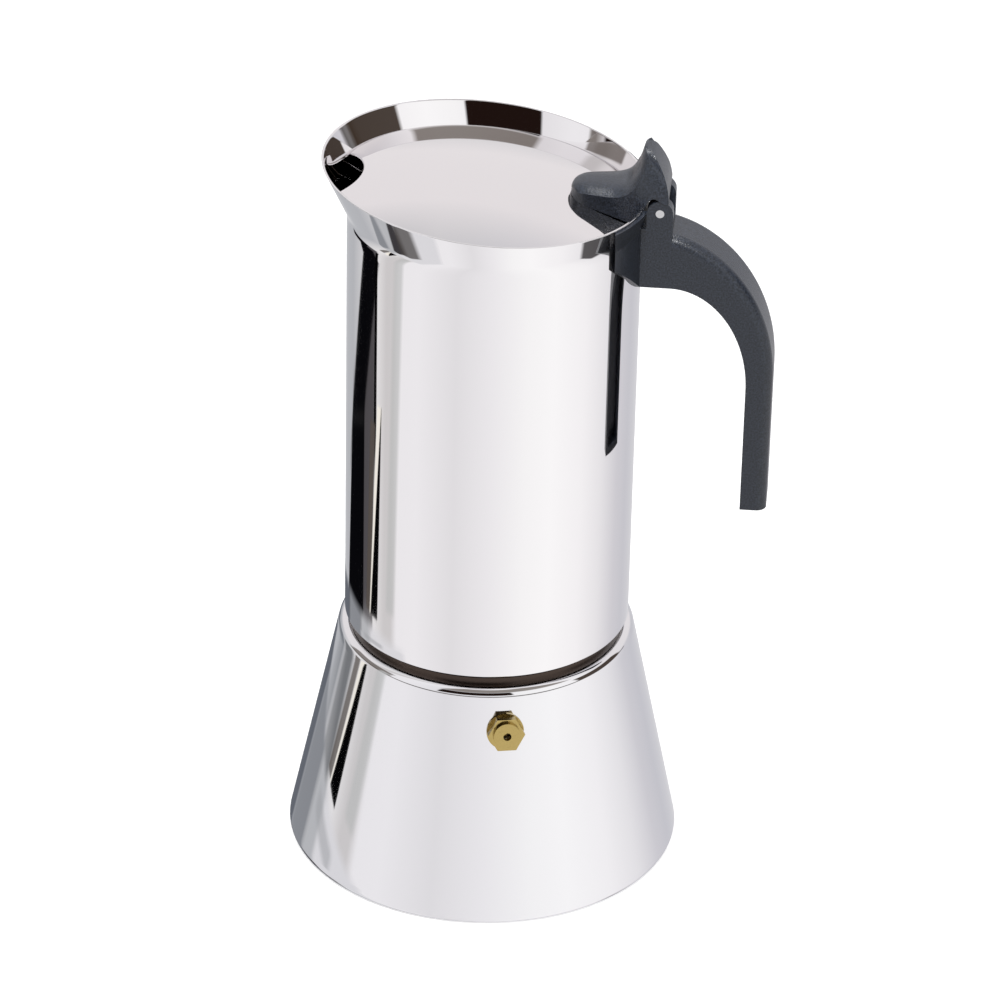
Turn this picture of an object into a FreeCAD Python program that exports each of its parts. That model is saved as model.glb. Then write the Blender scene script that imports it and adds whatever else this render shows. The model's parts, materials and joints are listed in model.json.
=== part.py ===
import FreeCAD
import Part
import Sketcher

import math
import os

# A stove-top coffee maker in three stages: a conical boiler with a safety valve,
# a coffee funnel under a gasket and filter plate, and a tall collector that screws
# down over the boiler's neck and carries the handle and the hinged lid.
#
# Frame: millimetres, +Z up, the vessel's axis on Z and the boiler's foot at Z = 0.
# The handle points along +X and the pouring side along -X.

NODE_FOLDER = "parts"

SIZES = {
    # Boiler
    "base_radius": 60.0,
    "base_corner": 3.0,
    "base_sheet": 1.2,
    "shoulder_lip": 1.4,
    "shoulder_height": 73.2,
    "shoulder_round": 1.2,
    "boiler_wall": 0.8,
    "neck_wall": 2.4,
    "neck_height": 17.6,
    "neck_flange_inset": 1.6,
    "neck_flange_height": 2.2,
    "neck_skirt": 3.0,
    # Screw thread between boiler and collector
    "thread_pitch": 3.0,
    "thread_ridge": 1.3,
    "thread_land": 0.7,
    "thread_root": 1.3,
    "thread_gap": 0.55,
    "thread_turns": 3.0,
    "thread_start": 5.8,
    "ring_wall": 3.05,
    # Coffee funnel
    "funnel_gap": 0.4,
    "funnel_wall": 0.6,
    "funnel_flange_inset": 0.6,
    "funnel_depth": 27.0,
    "funnel_ledge": 2.0,
    "funnel_cone_height": 9.0,
    "funnel_collar": 5.0,
    "stem_radius": 4.6,
    "stem_wall": 0.6,
    "stem_foot": 6.5,
    "strainer_sheet": 0.5,
    "strainer_hole_radius": 0.7,
    # Seal
    "seal_gap": 0.3,
    "gasket_height": 2.5,
    "gasket_inset": 0.8,
    "gasket_width": 5.6,
    "gasket_side_gap": 0.5,
    "filter_inset": 3.1,
    "filter_sheet": 0.5,
    "filter_dish": 1.6,
    "filter_slope": 3.0,
    "filter_hole_radius": 0.55,
    # Collector
    "seam_gap": 3.4,
    "vessel_radius": 43.0,
    "vessel_wall": 0.7,
    "vessel_body": 133.6,
    "vessel_foot_round": 0.6,
    "rim_rise": 11.3,
    "rim_flare": 4.9,
    "rim_shift": 2.8,
    "rim_tilt": 5.14,
    "floor_sheet": 0.9,
    "spout_tube_hole": 6.2,
    "column_base_radius": 12.0,
    "column_base_height": 9.0,
    "column_radius": 5.2,
    "column_top_radius": 4.2,
    "column_wall": 0.8,
    "column_height": 80.0,
    "nozzle_radius": 5.6,
    "nozzle_height": 12.0,
    "nozzle_grip": 6.0,
    "nozzle_slot": 2.6,
    # Lid
    "lid_drop": 6.5,
    "lid_sheet": 0.9,
    "lid_gap": 0.45,
    "lid_crown": 5.6,
    "pour_cut_radius": 18.5,
    "pour_cut_depth": 6.4,
    # Hinge
    "hinge_reach": 5.4,
    "hinge_drop": 1.546,
    "pin_radius": 1.25,
    "pin_running_gap": 0.06,
    "ear_radius": 3.8,
    "ear_width": 4.1,
    "ear_side_gap": 0.4,
    "knuckle_radius": 3.3,
    "knob_arc_gap": 1.2,
    # Handle
    "handle_half_width": 9.0,
    "block_height": 18.4,
    "grip_reach": 40.2,
    "grip_thickness": 7.8,
    "grip_length": 90.4,
    "grip_crown_x": 0.6,
    "grip_crown_rise": 46.4,
    "grip_crown_drop": 47.2,
    "grip_palm_x": 9.0,
    "grip_palm_drop": 50.2,
    "grip_skin": 2.6,
    "grip_channel": 6.2,
    "grip_fillet": 3.2,
    "ledge_drop": 5.0,
    "wing_thickness": 1.1,
    "wing_half_angle": 31.2,
    "wing_rim_gap": 0.8,
    "wing_step": 12.9,
    "saddle_gap": 0.05,
    "hinge_notch_gap": 0.9,
    # Bracket and screw inside the handle block
    "bracket_sheet": 1.2,
    "bracket_half_width": 5.0,
    "bracket_height": 9.0,
    "bracket_bottom": 4.6,
    "tongue_length": 6.4,
    "tongue_thickness": 4.5,
    "handle_screw_radius": 1.5,
    "handle_screw_head": 2.8,
    "handle_screw_head_height": 1.8,
    "handle_screw_recess": 1.2,
    # Lid knob
    "knob_reach": 26.4,
    "knob_overhang": 0.4,
    "knob_top": 7.2,
    "knob_crown": 1.05,
    "knob_tip_x": 5.3,
    "knob_tip_rise": 18.0,
    "knob_tip_half_width": 5.8,
    "knob_tip_thickness": 1.2,
    "knob_back_x": 2.0,
    "knob_scoop": 5.7,
    "knob_bow_half_width": 3.6,
    "knob_undercut": 0.6,
    "knob_shoulder": 16.0,
    "rivet_radius": 1.4,
    "rivet_head": 2.8,
    "rivet_head_height": 0.9,
    "rivet_depth": 3.0,
    "rivet_front_reach": 18.4,
    "rivet_back_reach": 10.4,
    # Safety valve
    "valve_height": 60.4,
    "valve_azimuth": -77.6,
    "valve_hex": 9.6,
    "valve_hex_height": 3.4,
    "valve_collar_radius": 5.6,
    "valve_collar_height": 0.8,
    "valve_nose_radius": 4.0,
    "valve_nose_height": 1.5,
    "valve_shank_radius": 3.4,
    "valve_shank_length": 6.5,
    "valve_bore": 2.3,
    "valve_mouth": 1.2,
    "valve_seal_height": 0.7,
    "valve_nut_hex": 9.0,
    "valve_nut_height": 2.2,
    "valve_throat": 1.3,
    "plunger_radius": 1.9,
    "plunger_head": 1.3,
    "plunger_stem": 0.7,
    "plunger_rise": 0.9,
    "spring_wire": 0.22,
    "spring_coils": 4.0,
}


class Size:
    """A length that knows both its number and the sheet expression behind it."""

    def __init__(self, text, value):
        self.text = text
        self.value = value

    def join(self, sign, other, value):
        text = other.text if isinstance(other, Size) else repr(float(other))
        return Size("(%s %s %s)" % (self.text, sign, text), value)

    def __add__(self, other):
        return self.join("+", other, self.value + plain(other))

    def __sub__(self, other):
        return self.join("-", other, self.value - plain(other))

    def __mul__(self, other):
        return self.join("*", other, self.value * plain(other))

    def __truediv__(self, other):
        return self.join("/", other, self.value / plain(other))

    def __neg__(self):
        return Size("(-1 * %s)" % self.text, -self.value)


def plain(quantity):
    return quantity.value if isinstance(quantity, Size) else float(quantity)


class Sheet:
    """Gives each named cell of the spreadsheet as a Size attribute."""

    def __init__(self, document):
        table = document.addObject("Spreadsheet::Sheet", "Sizes")
        for row, (alias, number) in enumerate(SIZES.items(), start=1):
            table.set("A%d" % row, alias)
            table.set("B%d" % row, str(number))
            table.setAlias("B%d" % row, alias)
        document.recompute()
        for alias in SIZES:
            setattr(self, alias, Size("Sizes." + alias, float(table.get(alias))))


doc = FreeCAD.newDocument("MokaPot")
size = Sheet(doc)
zero = Size("0.0", 0.0)

# Radii and levels that several pieces share
vessel_bore = size.vessel_radius - size.vessel_wall
ring_bore = vessel_bore - size.ring_wall
neck_radius = ring_bore - size.thread_ridge - size.thread_gap
neck_bore = neck_radius - size.neck_wall
neck_flange_radius = size.vessel_radius - size.neck_flange_inset
shoulder_radius = size.vessel_radius + size.shoulder_lip
rim_radius = size.vessel_radius + size.rim_flare
ear_inner = size.handle_half_width - size.ear_width
knuckle_half_width = ear_inner - size.ear_side_gap
knob_half_width = size.handle_half_width + size.knob_overhang
funnel_flange_radius = neck_radius - size.funnel_flange_inset
gasket_radius = neck_radius - size.gasket_inset
gasket_bore = gasket_radius - size.gasket_width
gasket_pocket_radius = gasket_radius + size.gasket_side_gap
filter_radius = gasket_radius - size.filter_inset
filter_dish_radius = gasket_bore - size.filter_slope
neck_top = size.shoulder_height + size.neck_height
flange_top = size.shoulder_height + size.neck_flange_height
funnel_top = neck_top + size.funnel_wall
cup_radius = neck_bore - size.funnel_gap
cup_floor = neck_top - size.funnel_depth
cone_foot = cup_floor - size.funnel_cone_height
gasket_foot = funnel_top + size.seal_gap
gasket_top = gasket_foot + size.gasket_height
filter_top = gasket_top + size.filter_sheet
floor_foot = filter_top + size.seal_gap
floor_top = floor_foot + size.floor_sheet
vessel_foot = size.shoulder_height + size.seam_gap
flare_foot = vessel_foot + size.vessel_body
rim_height = flare_foot + size.rim_rise
thread_foot = size.shoulder_height + size.thread_start
thread_height = size.thread_pitch * size.thread_turns
column_foot = floor_top
column_top = column_foot + size.column_height
hinge_x = size.vessel_radius + size.hinge_reach
rim_slope = Size("tan(Sizes.rim_tilt * 1 deg)", math.tan(math.radians(size.rim_tilt.value)))
hinge_z = rim_height - rim_slope * hinge_x - size.hinge_drop
block_foot = flare_foot - size.block_height


# ---------------------------------------------------------------- helpers

def origin_plane(body, role):
    """One of the body's own origin planes, such as XZ_Plane."""
    for feature in body.Origin.OriginFeatures:
        if feature.Role == role:
            return feature
    raise ValueError("no origin plane " + role)


def new_body(label):
    body = doc.addObject("PartDesign::Body", label)
    body.Label = label
    return body


def new_sketch(body, name, role):
    sketch = body.newObject("Sketcher::SketchObject", name)
    sketch.AttachmentSupport = [(origin_plane(body, role), "")]
    sketch.MapMode = "FlatFace"
    return sketch


def lift_sketch(sketch, height):
    """Moves a sketch along its own normal, to the height that the Size gives."""
    sketch.AttachmentOffset = FreeCAD.Placement(FreeCAD.Vector(0, 0, height.value), FreeCAD.Rotation())
    sketch.setExpression("AttachmentOffset.Base.z", height.text)


def bind(sketch, kind, references, quantity):
    """Adds one dimension and ties it to its sheet expression."""
    index = sketch.addConstraint(Sketcher.Constraint(kind, *references, quantity.value))
    sketch.setExpression("Constraints[%d]" % index, quantity.text)


def draw_outline(sketch, corners):
    """A closed outline through the corners. Each corner is (x, y) in Sizes, or
    (x, y, radius, turn) where the edge that leaves it is an arc of that radius,
    with turn +1 for an anticlockwise arc and -1 for a clockwise one."""
    count = len(corners)
    first = sketch.GeometryCount
    for index, corner in enumerate(corners):
        after = corners[(index + 1) % count]
        start = FreeCAD.Vector(corner[0].value, corner[1].value, 0)
        end = FreeCAD.Vector(after[0].value, after[1].value, 0)
        if len(corner) == 2:
            sketch.addGeometry(Part.LineSegment(start, end), False)
        else:
            sketch.addGeometry(arc_between(start, end, corner[2].value, corner[3]), False)
    for index, corner in enumerate(corners):
        edge = first + index
        before = first + (index - 1) % count
        sketch.addConstraint(Sketcher.Constraint("Coincident", before, end_vertex(corners[index - 1]),
                                                 edge, start_vertex(corner)))
        bind(sketch, "DistanceX", (-1, 1, edge, start_vertex(corner)), corner[0])
        bind(sketch, "DistanceY", (-1, 1, edge, start_vertex(corner)), corner[1])
        if len(corner) == 4:
            bind(sketch, "Radius", (edge,), corner[2])


def start_vertex(corner):
    return 2 if len(corner) == 4 and corner[3] < 0 else 1


def end_vertex(corner):
    return 1 if len(corner) == 4 and corner[3] < 0 else 2


def arc_between(start, end, radius, turn):
    """The short arc of the given radius from start to end, turning as told."""
    middle = (start + end) * 0.5
    half = (end - start).Length / 2
    chord = (end - start).normalize()
    left = FreeCAD.Vector(-chord.y, chord.x, 0)
    centre = middle + left * (turn * math.sqrt(max(radius * radius - half * half, 0.0)))
    bulge = centre - left * (turn * radius)
    if turn > 0:
        return Part.Arc(start, bulge, end)
    return Part.Arc(end, bulge, start)


def add_revolution(body, name, corners):
    """Turns an outline in the XZ plane a full turn about the Z axis."""
    sketch = new_sketch(body, name + "_outline", "XZ_Plane")
    draw_outline(sketch, corners)
    doc.recompute()
    turned = body.newObject("PartDesign::Revolution", name)
    turned.Profile = sketch
    turned.ReferenceAxis = (sketch, ["V_Axis"])
    turned.Angle = 360.0
    body.Tip = turned
    doc.recompute()
    return turned


def turned_piece(label, corners):
    body = new_body(label)
    add_revolution(body, label + "_turned", corners)
    return body


def draw_circle(sketch, centre_x, radius):
    """A circle centred on the sketch's x axis, its place and radius from the sheet."""
    shape = Part.Circle(FreeCAD.Vector(centre_x.value, 0, 0), FreeCAD.Vector(0, 0, 1), radius.value)
    index = sketch.addGeometry(shape, False)
    bind(sketch, "DistanceX", (-1, 1, index, 3), centre_x)
    bind(sketch, "DistanceY", (-1, 1, index, 3), zero)
    bind(sketch, "Radius", (index,), radius)


def cut_ring_of_holes(body, name, ring_radius, hole_radius, count):
    """Drills one hole through the piece and repeats it round the Z axis."""
    sketch = new_sketch(body, name + "_circle", "XY_Plane")
    draw_circle(sketch, ring_radius, hole_radius)
    doc.recompute()
    hole = body.newObject("PartDesign::Pocket", name + "_hole")
    hole.Profile = sketch
    hole.Type = "ThroughAll"
    hole.Midplane = True
    body.Tip = hole
    doc.recompute()
    ring = body.newObject("PartDesign::PolarPattern", name + "_ring")
    ring.Originals = [hole]
    ring.Axis = (sketch, ["N_Axis"])
    ring.Angle = 360.0
    ring.Occurrences = count
    body.Tip = ring
    doc.recompute()


def perforate(body, hole_radius, last_radius, step):
    """Rings of holes, each ring one step wider and with six more holes."""
    before = body.Shape.Volume
    rings = int(last_radius / step)
    for ring in range(1, rings + 1):
        spacing = Size(repr(ring * step), ring * step)
        cut_ring_of_holes(body, "%s_holes_%d" % (body.Label, ring), spacing, hole_radius, 6 * ring)
    if body.Shape.Volume >= before:
        raise ValueError("the holes in %s cut nothing" % body.Label)


def add_thread(body, name, root, foot, inward):
    """A helical ridge of trapezoid section, standing out of a wall or into a bore."""
    tip = root - size.thread_ridge if inward else root + size.thread_ridge
    buried = root + size.thread_ridge / 2 if inward else root - size.thread_ridge / 2
    half_root = size.thread_root / 2
    half_land = size.thread_land / 2
    middle = foot + half_root
    sketch = new_sketch(body, name + "_section", "XZ_Plane")
    draw_outline(sketch, [
        (buried, middle - half_root),
        (root, middle - half_root),
        (tip, middle - half_land),
        (tip, middle + half_land),
        (root, middle + half_root),
        (buried, middle + half_root)])
    doc.recompute()
    ridge = body.newObject("PartDesign::AdditiveHelix", name)
    ridge.Profile = sketch
    ridge.ReferenceAxis = (sketch, ["V_Axis"])
    ridge.Mode = 0
    ridge.Pitch = size.thread_pitch.value
    ridge.Height = thread_height.value
    ridge.setExpression("Pitch", size.thread_pitch.text)
    ridge.setExpression("Height", thread_height.text)
    ridge.LeftHanded = False
    ridge.Reversed = False
    body.Tip = ridge
    doc.recompute()
    return ridge


def shape_piece(label, shape):
    """A piece whose surfaces only Part's own functions can make."""
    piece = doc.addObject("Part::Feature", label)
    piece.Label = label
    piece.Shape = shape
    return piece


def vector(x, y, z):
    return FreeCAD.Vector(plain(x), plain(y), plain(z))


def prism_along_y(edges, half_width):
    """A closed outline in the XZ plane, thickened evenly to both sides."""
    face = Part.Face(Part.Wire(Part.__sortEdges__(edges)))
    face.translate(FreeCAD.Vector(0, -half_width, 0))
    return face.extrude(FreeCAD.Vector(0, 2 * half_width, 0))


def line(start, end):
    return Part.makeLine(start, end)


def arc_through(start, middle, end):
    return Part.Arc(start, middle, end).toShape()


# ---------------------------------------------------------------- boiler

def make_boiler_shell():
    """Drawn cone: wall, rounded shoulder and the flat ring that carries the neck."""
    wall = size.boiler_wall
    inner_shoulder = shoulder_radius - size.shoulder_round
    return turned_piece("boiler_shell", [
        (size.base_radius - size.base_corner, zero, size.base_corner, 1),
        (size.base_radius, size.base_corner),
        (shoulder_radius, size.shoulder_height - size.shoulder_round, size.shoulder_round, 1),
        (inner_shoulder, size.shoulder_height),
        (neck_radius, size.shoulder_height),
        (neck_radius, size.shoulder_height - wall),
        (inner_shoulder, size.shoulder_height - wall, size.shoulder_round - wall, -1),
        (shoulder_radius - wall, size.shoulder_height - size.shoulder_round),
        (size.base_radius - wall, size.base_corner, size.base_corner - wall, -1),
        (size.base_radius - size.base_corner, wall)])


def make_boiler_base():
    """Bottom disc, let into the foot of the shell and rolled up inside it."""
    sheet = size.base_sheet
    reach = size.base_radius - size.base_corner
    return turned_piece("boiler_base", [
        (zero, zero),
        (reach, zero),
        (reach, sheet),
        (zero, sheet)])


def make_boiler_neck():
    """Turned collar welded into the shoulder, with the outside screw thread."""
    body = turned_piece("boiler_neck", [
        (neck_bore, size.shoulder_height - size.neck_skirt),
        (neck_radius, size.shoulder_height - size.neck_skirt),
        (neck_radius, size.shoulder_height),
        (neck_flange_radius, size.shoulder_height),
        (neck_flange_radius, flange_top),
        (neck_radius, flange_top),
        (neck_radius, neck_top),
        (neck_bore, neck_top)])
    add_thread(body, "neck_thread", neck_radius, thread_foot, False)
    return body


# ---------------------------------------------------------------- funnel

def make_funnel_basket():
    """Pressed cup with a flange on the neck and a cone down to the stem's collar."""
    wall = size.funnel_wall
    ledge = cup_radius - size.funnel_ledge
    return turned_piece("funnel_basket", [
        (size.stem_radius, cone_foot - size.funnel_collar),
        (size.stem_radius + wall, cone_foot - size.funnel_collar),
        (size.stem_radius + wall, cone_foot - wall),
        (ledge, cup_floor - wall * 2),
        (cup_radius, cup_floor - wall * 2),
        (cup_radius, neck_top),
        (funnel_flange_radius, neck_top),
        (funnel_flange_radius, funnel_top),
        (cup_radius - wall, funnel_top),
        (cup_radius - wall, cup_floor - wall),
        (ledge, cup_floor - wall),
        (size.stem_radius, cone_foot)])


def make_funnel_strainer():
    """Perforated disc on the ledge at the bottom of the cup."""
    radius = cup_radius - size.funnel_wall
    foot = cup_floor - size.funnel_wall
    body = turned_piece("funnel_strainer", [
        (zero, foot),
        (radius, foot),
        (radius, foot + size.strainer_sheet),
        (zero, foot + size.strainer_sheet)])
    perforate(body, size.strainer_hole_radius, radius.value - size.funnel_ledge.value, 5.2)
    return body


def make_funnel_stem():
    """Straight tube from the cone's collar to just above the boiler's floor."""
    return turned_piece("funnel_stem", [
        (size.stem_radius - size.stem_wall, size.stem_foot),
        (size.stem_radius, size.stem_foot),
        (size.stem_radius, cone_foot),
        (size.stem_radius - size.stem_wall, cone_foot)])


# ---------------------------------------------------------------- seal

def make_gasket():
    """Flat silicone ring between the funnel's flange and the collector."""
    return turned_piece("gasket", [
        (gasket_bore, gasket_foot),
        (gasket_radius, gasket_foot),
        (gasket_radius, gasket_top),
        (gasket_bore, gasket_top)])


def make_filter_plate():
    """Dished, perforated plate whose rim lies on the gasket."""
    sheet = size.filter_sheet
    body = turned_piece("filter_plate", [
        (zero, gasket_top - size.filter_dish),
        (filter_dish_radius, gasket_top - size.filter_dish),
        (gasket_bore - sheet, gasket_top),
        (filter_radius, gasket_top),
        (filter_radius, filter_top),
        (gasket_bore - sheet * 2, filter_top),
        (filter_dish_radius - sheet, filter_top - size.filter_dish),
        (zero, filter_top - size.filter_dish)])
    perforate(body, size.filter_hole_radius, filter_dish_radius.value - sheet.value * 4, 4.3)
    return body


# ---------------------------------------------------------------- collector

def flare_frame(low_radius, rim_radius):
    """The round foot and the tilted rim between which the flare is ruled."""
    foot = Part.Wire(Part.makeCircle(plain(low_radius), vector(0, 0, flare_foot)))
    rim = Part.Wire(Part.makeCircle(plain(rim_radius), FreeCAD.Vector(0, 0, 0)))
    rim.rotate(FreeCAD.Vector(0, 0, 0), FreeCAD.Vector(0, 1, 0), size.rim_tilt.value)
    slope = math.tan(math.radians(size.rim_tilt.value))
    shift = size.rim_shift.value
    rim.translate(FreeCAD.Vector(-shift, 0, rim_height.value + shift * slope))
    return foot, rim


def flare_solid(inset):
    """The flare's outside, drawn in by inset and closed into a solid."""
    foot, rim = flare_frame(size.vessel_radius.value - inset, rim_radius.value - inset)
    return Part.makeLoft([foot, rim], True, True)


def vessel_solid(inset, bottom):
    """The collector's outside down to the level bottom, drawn in by inset."""
    height = flare_foot.value - bottom
    barrel = Part.makeCylinder(size.vessel_radius.value - inset, height, FreeCAD.Vector(0, 0, bottom))
    return barrel.fuse(flare_solid(inset)).removeSplitter()


def hinge_notch():
    """The gap in the rim through which the lid's knuckle and the ears pass."""
    half = size.handle_half_width.value + size.hinge_notch_gap.value
    depth = rim_radius.value
    corner = FreeCAD.Vector(size.vessel_radius.value - depth / 8, -half, flare_foot.value)
    return Part.makeBox(depth, 2 * half, 2 * size.rim_rise.value, corner)


def make_collector_shell():
    """Drawn tube with a flared, tilted rim and a slightly rounded foot."""
    foot = vessel_foot.value
    outside = vessel_solid(0.0, foot)
    inside = vessel_solid(size.vessel_wall.value, foot - 1)
    shell = outside.cut(inside)
    shell = shell.cut(hinge_notch())
    foot_edges = []
    for edge in shell.Edges:
        box = edge.BoundBox
        at_foot = abs(box.ZMin - foot) < 0.001 and abs(box.ZMax - foot) < 0.001
        if at_foot and abs(box.XMax - size.vessel_radius.value) < 0.001:
            foot_edges.append(edge)
    shell = shell.makeFillet(size.vessel_foot_round.value, foot_edges)
    return shape_piece("collector_shell", shell)


def make_thread_ring():
    """Ring in the collector's foot: inside thread below, gasket pocket above."""
    pocket_foot = gasket_foot - size.seal_gap
    body = turned_piece("thread_ring", [
        (ring_bore, vessel_foot + size.vessel_foot_round),
        (vessel_bore, vessel_foot + size.vessel_foot_round),
        (vessel_bore, floor_foot),
        (gasket_pocket_radius, floor_foot),
        (gasket_pocket_radius, pocket_foot),
        (ring_bore, pocket_foot)])
    add_thread(body, "ring_thread", ring_bore, thread_foot - size.thread_pitch / 2, True)
    return body


def make_collector_floor():
    """Disc that closes the collector above the seal, open for the column."""
    return turned_piece("collector_floor", [
        (size.spout_tube_hole, floor_foot),
        (vessel_bore, floor_foot),
        (vessel_bore, floor_top),
        (size.spout_tube_hole, floor_top)])


def make_column():
    """Tapered riser tube, spread at its foot and welded to the floor."""
    wall = size.column_wall
    bend = column_foot + size.column_base_height
    return turned_piece("column", [
        (size.column_base_radius - wall, column_foot),
        (size.column_base_radius, column_foot),
        (size.column_radius, bend),
        (size.column_top_radius, column_top),
        (size.column_top_radius - wall, column_top),
        (size.column_radius - wall, bend)])


def make_nozzle():
    """Cap on the column with two side mouths that turn the coffee outwards."""
    wall = size.column_wall
    seat = column_top - size.nozzle_grip
    roof = seat + size.nozzle_height
    taper = (size.column_radius - size.column_top_radius) * size.nozzle_grip
    grip = size.column_top_radius + taper / (size.column_height - size.column_base_height)
    body = turned_piece("nozzle", [
        (grip, seat),
        (size.nozzle_radius, seat),
        (size.nozzle_radius, roof - wall * 2),
        (size.nozzle_radius - wall * 2, roof),
        (zero, roof),
        (zero, roof - wall),
        (size.column_top_radius - wall, roof - wall),
        (size.column_top_radius - wall, column_top),
        (size.column_top_radius, column_top)])
    sketch = new_sketch(body, "nozzle_mouth", "YZ_Plane")
    half = size.nozzle_slot / 2
    mouth_foot = column_top + wall
    mouth_top = mouth_foot + size.nozzle_slot
    draw_outline(sketch, [(-half, mouth_foot), (half, mouth_foot), (half, mouth_top), (-half, mouth_top)])
    doc.recompute()
    before = body.Shape.Volume
    mouths = body.newObject("PartDesign::Pocket", "nozzle_mouths")
    mouths.Profile = sketch
    mouths.Type = "ThroughAll"
    mouths.Midplane = True
    body.Tip = mouths
    doc.recompute()
    if body.Shape.Volume >= before:
        raise ValueError("the nozzle's mouths cut nothing")
    return body


# ---------------------------------------------------------------- handle

def ellipse_point(centre, across, up, degrees):
    angle = math.radians(degrees)
    return centre + FreeCAD.Vector(across * math.cos(angle), 0, up * math.sin(angle))


def ellipse_edge(centre, across, up, first, last):
    """The part of an upright ellipse between two angles, as one smooth curve."""
    steps = 12
    points = []
    for step in range(steps + 1):
        points.append(ellipse_point(centre, across, up, first + (last - first) * step / steps))
    curve = Part.BSplineCurve()
    curve.interpolate(points)
    return curve.toShape()


def grip_outline(skin):
    """Edges of the handle in the XZ plane: block, ear, arched back and palm side.
    A skin of more than nothing gives the hollow inside the grip instead."""
    radius = size.vessel_radius.value
    reach = radius + size.grip_reach.value
    foot = flare_foot.value - size.grip_length.value
    crown = FreeCAD.Vector(radius + size.grip_crown_x.value, 0,
                           flare_foot.value - size.grip_crown_drop.value)
    crown_across = reach - crown.x
    palm = FreeCAD.Vector(radius + size.grip_palm_x.value, 0,
                          flare_foot.value - size.grip_palm_drop.value)
    palm_across = reach - size.grip_thickness.value - palm.x
    palm_up = block_foot.value - palm.z
    if skin > 0:
        return hollow_edges(crown, crown_across, palm, palm_across, palm_up, foot, skin)
    ear_x = hinge_x.value + size.ear_radius.value
    ledge = hinge_z.value - size.ledge_drop.value
    near = radius - size.ear_radius.value / 2
    ear_side = hinge_x.value - size.ear_radius.value
    start = math.degrees(math.acos((ear_x - crown.x) / crown_across))
    neck = ellipse_point(crown, crown_across, size.grip_crown_rise.value, start)
    shoulder = ellipse_point(crown, crown_across, size.grip_crown_rise.value, 0)
    inner = ellipse_point(palm, palm_across, palm_up, 0)
    under = ellipse_point(palm, palm_across, palm_up, 90)
    corners = [FreeCAD.Vector(ear_side, 0, hinge_z.value), FreeCAD.Vector(ear_side, 0, ledge),
               FreeCAD.Vector(near, 0, ledge), FreeCAD.Vector(near, 0, block_foot.value)]
    edges = [line(first, second) for first, second in zip(corners, corners[1:])]
    edges.append(line(corners[-1], under))
    edges.append(ellipse_edge(palm, palm_across, palm_up, 90, 0))
    edges.append(line(inner, FreeCAD.Vector(inner.x, 0, foot)))
    edges.append(line(FreeCAD.Vector(inner.x, 0, foot), FreeCAD.Vector(reach, 0, foot)))
    edges.append(line(FreeCAD.Vector(reach, 0, foot), shoulder))
    edges.append(ellipse_edge(crown, crown_across, size.grip_crown_rise.value, 0, start))
    edges.append(line(neck, FreeCAD.Vector(ear_x, 0, hinge_z.value)))
    edges.append(arc_through(FreeCAD.Vector(ear_x, 0, hinge_z.value),
                             FreeCAD.Vector(hinge_x.value, 0, hinge_z.value + size.ear_radius.value),
                             corners[0]))
    return edges


def hollow_edges(crown, crown_across, palm, palm_across, palm_up, foot, skin):
    """Edges of the channel that runs down the palm side of the grip."""
    crown_up = size.grip_crown_rise.value - skin
    wide = crown_across - skin
    first = 52.0
    top = ellipse_point(crown, wide, crown_up, first)
    side = ellipse_point(crown, wide, crown_up, 0)
    back = palm_across - skin * 2
    palm_top = ellipse_point(palm, back, palm_up - skin * 2, first)
    palm_side = ellipse_point(palm, back, palm_up - skin * 2, 0)
    end = foot + skin
    edges = [ellipse_edge(crown, wide, crown_up, first, 0)]
    edges.append(line(side, FreeCAD.Vector(side.x, 0, end)))
    edges.append(line(FreeCAD.Vector(side.x, 0, end), FreeCAD.Vector(palm_side.x, 0, end)))
    edges.append(line(FreeCAD.Vector(palm_side.x, 0, end), palm_side))
    edges.append(ellipse_edge(palm, back, palm_up - skin * 2, 0, first))
    edges.append(line(palm_top, top))
    return edges


def round_grip_back(shape):
    """Rounds the two long edges along the arched back of the grip."""
    half = size.handle_half_width.value
    reach = size.vessel_radius.value + size.grip_reach.value
    middle_z = (flare_foot.value - size.grip_length.value + flare_foot.value - size.grip_crown_drop.value) / 2
    seeds = [FreeCAD.Vector(reach, side * half, middle_z) for side in (-1, 1)]
    chosen = []
    for edge in shape.Edges:
        for seed in seeds:
            if edge.distToShape(Part.Vertex(seed))[0] < 0.01 and edge.Length > size.grip_skin.value * 8:
                chosen.append(edge)
    return shape.makeFillet(size.grip_fillet.value, chosen)


def make_wings():
    """Thin saddle that follows the collector and its flare, to both sides of the block."""
    foot = block_foot.value
    outer = size.vessel_radius.value + size.wing_thickness.value
    saddle = vessel_solid(-size.wing_thickness.value, foot)
    cut_x = size.vessel_radius.value * math.cos(math.radians(size.wing_half_angle.value))
    behind = Part.makeBox(2 * outer, 4 * outer, 4 * outer, FreeCAD.Vector(cut_x, -2 * outer, foot))
    saddle = saddle.common(behind)
    under_rim = size.lid_drop.value - size.wing_rim_gap.value
    saddle = saddle.common(lid_slab(-4 * size.block_height.value, under_rim))
    half = size.handle_half_width.value
    edge = math.sqrt(outer * outer - cut_x * cut_x) + 1
    for side in (-1, 1):
        corners = [FreeCAD.Vector(0, side * half, foot), FreeCAD.Vector(0, side * edge, foot),
                   FreeCAD.Vector(0, side * edge, foot + size.wing_step.value)]
        wedge = Part.Face(Part.makePolygon(corners + corners[:1])).extrude(FreeCAD.Vector(2 * outer, 0, 0))
        saddle = saddle.cut(wedge)
    return saddle


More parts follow.
